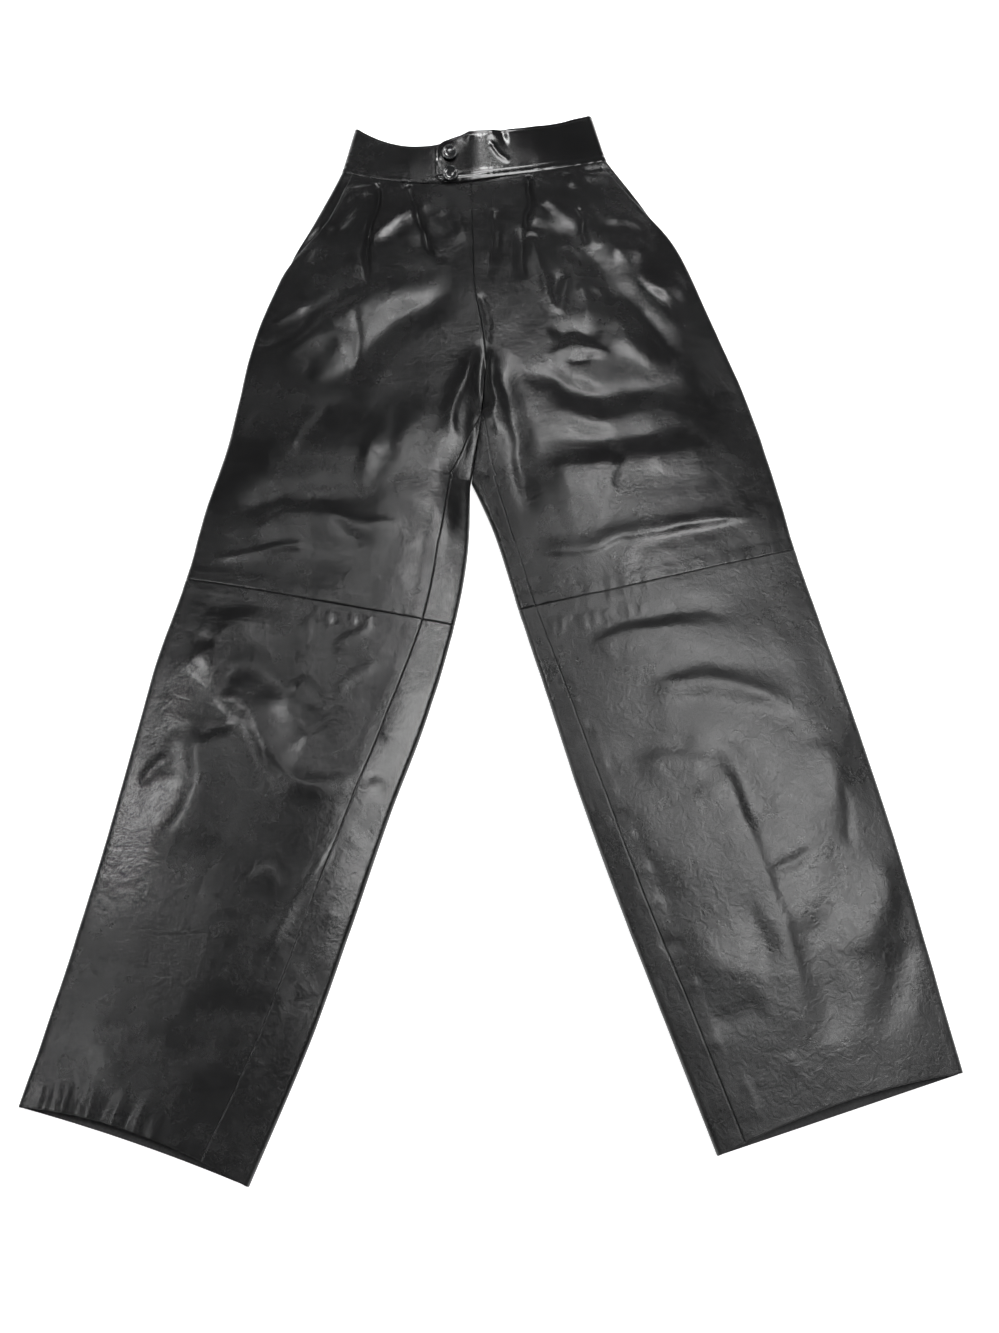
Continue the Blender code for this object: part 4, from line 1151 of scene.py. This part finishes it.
def button(name, share):
    """A turned button, with a shallow dish inside a rolled rim, standing on the band."""
    station = np.array([-share])
    around = around_full("right", station) - BUTTON_FROM_CENTRE
    points, normals, lift = relieved("right", station, around)
    normal = Vector(normals[0])
    raised = BAND_LEATHER + 0.06 + lift[0]
    spot = Vector(in_frame(points[0] + normals[0] * raised))
    vertices = []
    for across, height in BUTTON_PROFILE:
        for k in range(BUTTON_TURNS):
            angle = 2.0 * math.pi * k / BUTTON_TURNS
            reach = BUTTON_DIAMETER / 2.0 * across
            vertices.append((reach * math.cos(angle), reach * math.sin(angle), height))
    faces = []
    for r in range(len(BUTTON_PROFILE) - 1):
        for k in range(BUTTON_TURNS):
            a = r * BUTTON_TURNS + k
            b = r * BUTTON_TURNS + (k + 1) % BUTTON_TURNS
            faces.append((a, a + BUTTON_TURNS, b + BUTTON_TURNS, b))
    mesh = smooth_mesh(name, np.array(vertices) * CM, faces, [BUTTON])
    turn = Vector((0.0, 0.0, 1.0)).rotation_difference(normal).to_matrix().to_4x4()
    mesh.transform(Matrix.Translation(spot) @ turn)
    clean_mesh(mesh)
    made = add_piece(name, mesh)
    return made


def clean_mesh(mesh):
    work = bmesh.new()
    work.from_mesh(mesh)
    bmesh.ops.remove_doubles(work, verts=work.verts, dist=0.000002)
    bmesh.ops.recalc_face_normals(work, faces=work.faces)
    work.to_mesh(mesh)
    work.free()


# ---------------------------------------------------------------------------------------------
# Building
# ---------------------------------------------------------------------------------------------

TOP_SPACING = 0.21
SHIN_SPACING = 0.26
BACK_SPACING = 0.40
BAND_SPACING = 0.17


def declare(piece, cad_node):
    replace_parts(piece, cad_node)


PANELS = (
    ("front_upper_", front_panel, True, TOP_SPACING),
    ("front_lower_", front_panel, False, SHIN_SPACING),
    ("back_upper_", back_panel, True, BACK_SPACING),
    ("back_lower_", back_panel, False, BACK_SPACING),
)
pieces = {}
for side in ("right", "left"):
    for prefix, build, upper, spacing in PANELS:
        # The wearer's left shin gets the lighter copy, whose colour is partly painted light.
        material = LIGHTER_AND_PAINTED_LIT if side == "left" and not upper else OUTSIDE
        pieces[prefix + side] = build("leather_" + prefix + side, side, upper, spacing, material)
    pieces["pocket_facing_" + side] = pocket_facing("leather_pocket_facing_" + side, side,
                                                    BACK_SPACING)
pieces["waistband_back"] = waistband_back("leather_waistband_back", BAND_SPACING * 1.5)
pieces["waistband_right"] = waistband_right("leather_waistband_right", BAND_SPACING)
pieces["waistband_left_tab"] = waistband_left("leather_waistband_left_tab", BAND_SPACING)
pieces["fly_zip"] = fly_piece("zip_tape", ZIP_WIDTH, LEATHER + 0.03, ZIP_THICK, BACK_SPACING,
                              [ZIP])
pieces["fly_shield"] = fly_piece("leather_fly_shield", SHIELD_WIDTH,
                                 LEATHER + ZIP_THICK + 0.06, SHIELD_THICK, BACK_SPACING,
                                 [OUTSIDE, INSIDE, CUT])
for cad_node, piece in pieces.items():
    declare(piece, cad_node)

for cad_node, share in BUTTONS.items():
    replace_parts(button(cad_node + "_turned", share), cad_node)

band_line = []
for side, stop in (("right", BAND_FRONT_TAB + 0.1), ("left", 0.0)):
    for share, sunk in ((0.124, 0.05), (0.94, 0.03)):
        end = around_full(side, np.array([-share]))[0] - stop
        arounds = np.linspace(0.8, end - 0.2, 160)
        stations = np.full(arounds.shape, -share)
        band_line.append(stitch_row(side, stations, arounds, sunk))
stitches("stitches_waistband", band_line)

fly_stations = np.linspace(0.08, 2.05, 160)
from_fly = np.interp(fly_stations, FLY_STITCH_STATIONS, FLY_STITCH_OFFSETS)
fly_line = [stitch_row("left", fly_stations, around_full("left", fly_stations) - from_fly, 0.02)]
for station in BAR_TACK_STATIONS:
    reach = around_full("left", np.array([station]))[0]
    arounds = np.linspace(reach - 0.95, reach - 0.05, 12)
    fly_line.append(stitch_row("left", np.full(arounds.shape, station), arounds, 0.0))
stitches("stitches_fly", fly_line)

mouth_line = []
for side in ("right", "left"):
    stations = np.linspace(0.06, 1.93, 160)
    for inside in (0.28, 0.85):
        arounds = read(side, stations)["mouth"] + inside
        mouth_line.append(stitch_row(side, stations, arounds, 0.03))
stitches("stitches_pocket_mouths", mouth_line)


# ---------------------------------------------------------------------------------------------
# Floor, light and camera
# ---------------------------------------------------------------------------------------------

FLOOR_HALF = 6.0
FLOOR_DROP = 0.0003
CAMERA_AT = (0.0048, -0.5317, 0.9025)
CAMERA_AIM = (0.0215, -0.1490, 0.0)
# Name, place, what it points at, width and length, watts, and the angle it spreads to.
LIGHTS = (
    ("overhead", (0.93, 0.08, 2.0), (0.2, -0.2, 0.0), (0.82, 1.2), 33.0, 180.0),
    ("window", (0.52, 0.84, 2.0), (0.1, 0.1, 0.0), (0.4, 0.22), 8.0, 180.0),
    ("far_window", (-0.50, 0.66, 2.0), (-0.1, 0.1, 0.0), (0.3, 0.2), 2.0, 180.0),
    ("side", (-1.5, 0.38, 1.7), (-0.2, -0.2, 0.0), (0.32, 0.32), 8.5, 180.0),
    ("hem", (-1.5, -0.55, 1.7), (-0.33, -0.56, 0.0), (0.3, 0.3), 0.10, 30.0),
    ("waist", (0.08, 1.15, 1.9), (0.0, 0.46, 0.0), (0.7, 0.4), 0.45, 26.0),
)


def floor():
    corners = [(x * FLOOR_HALF, y * FLOOR_HALF, -FLOOR_DROP)
               for x, y in ((-1, -1), (1, -1), (1, 1), (-1, 1))]
    mesh = bpy.data.meshes.new("floor")
    mesh.from_pydata(corners, [], [(0, 1, 2, 3)])
    material, tree, shader = new_material("floor_white")
    tone = noise_texture(tree, 1.5, 2.0)
    tree.links.new(blend_colours(tree, tone, (0.90, 0.90, 0.90), (0.92, 0.92, 0.92)),
                   shader.inputs["Base Color"])
    shader.inputs["Roughness"].default_value = 0.9
    shader.inputs["Specular IOR Level"].default_value = 0.1
    shader.inputs["Emission Color"].default_value = (1.0, 1.0, 1.0, 1.0)
    shader.inputs["Emission Strength"].default_value = 0.86
    mesh.materials.append(material)
    made = link("floor", mesh)


def aim_at(made, place_at, target):
    made.location = place_at
    made.rotation_mode = "QUATERNION"
    made.rotation_quaternion = (Vector(target) - Vector(place_at)).to_track_quat("-Z", "Y")


def softbox(name, place_at, target, size, power, spread):
    data = bpy.data.lights.new(name, "AREA")
    data.shape = "RECTANGLE"
    data.size, data.size_y = size
    data.energy = power
    data.spread = math.radians(spread)
    aim_at(link(name, data), place_at, target)


def light_and_camera():
    scene = bpy.context.scene
    scene.world = bpy.data.worlds.new("studio")
    scene.world.use_nodes = True
    background = scene.world.node_tree.nodes["Background"]
    background.inputs["Color"].default_value = (1.0, 1.0, 1.0, 1.0)
    background.inputs["Strength"].default_value = 0.09
    scene.view_settings.view_transform = "Standard"
    for light in LIGHTS:
        softbox(*light)
    data = bpy.data.cameras.new("camera")
    data.lens = 27.0
    data.sensor_width = 36.0
    data.clip_start = 0.01
    scene.camera = link("camera", data)
    aim_at(scene.camera, CAMERA_AT, CAMERA_AIM)


floor()
light_and_camera()
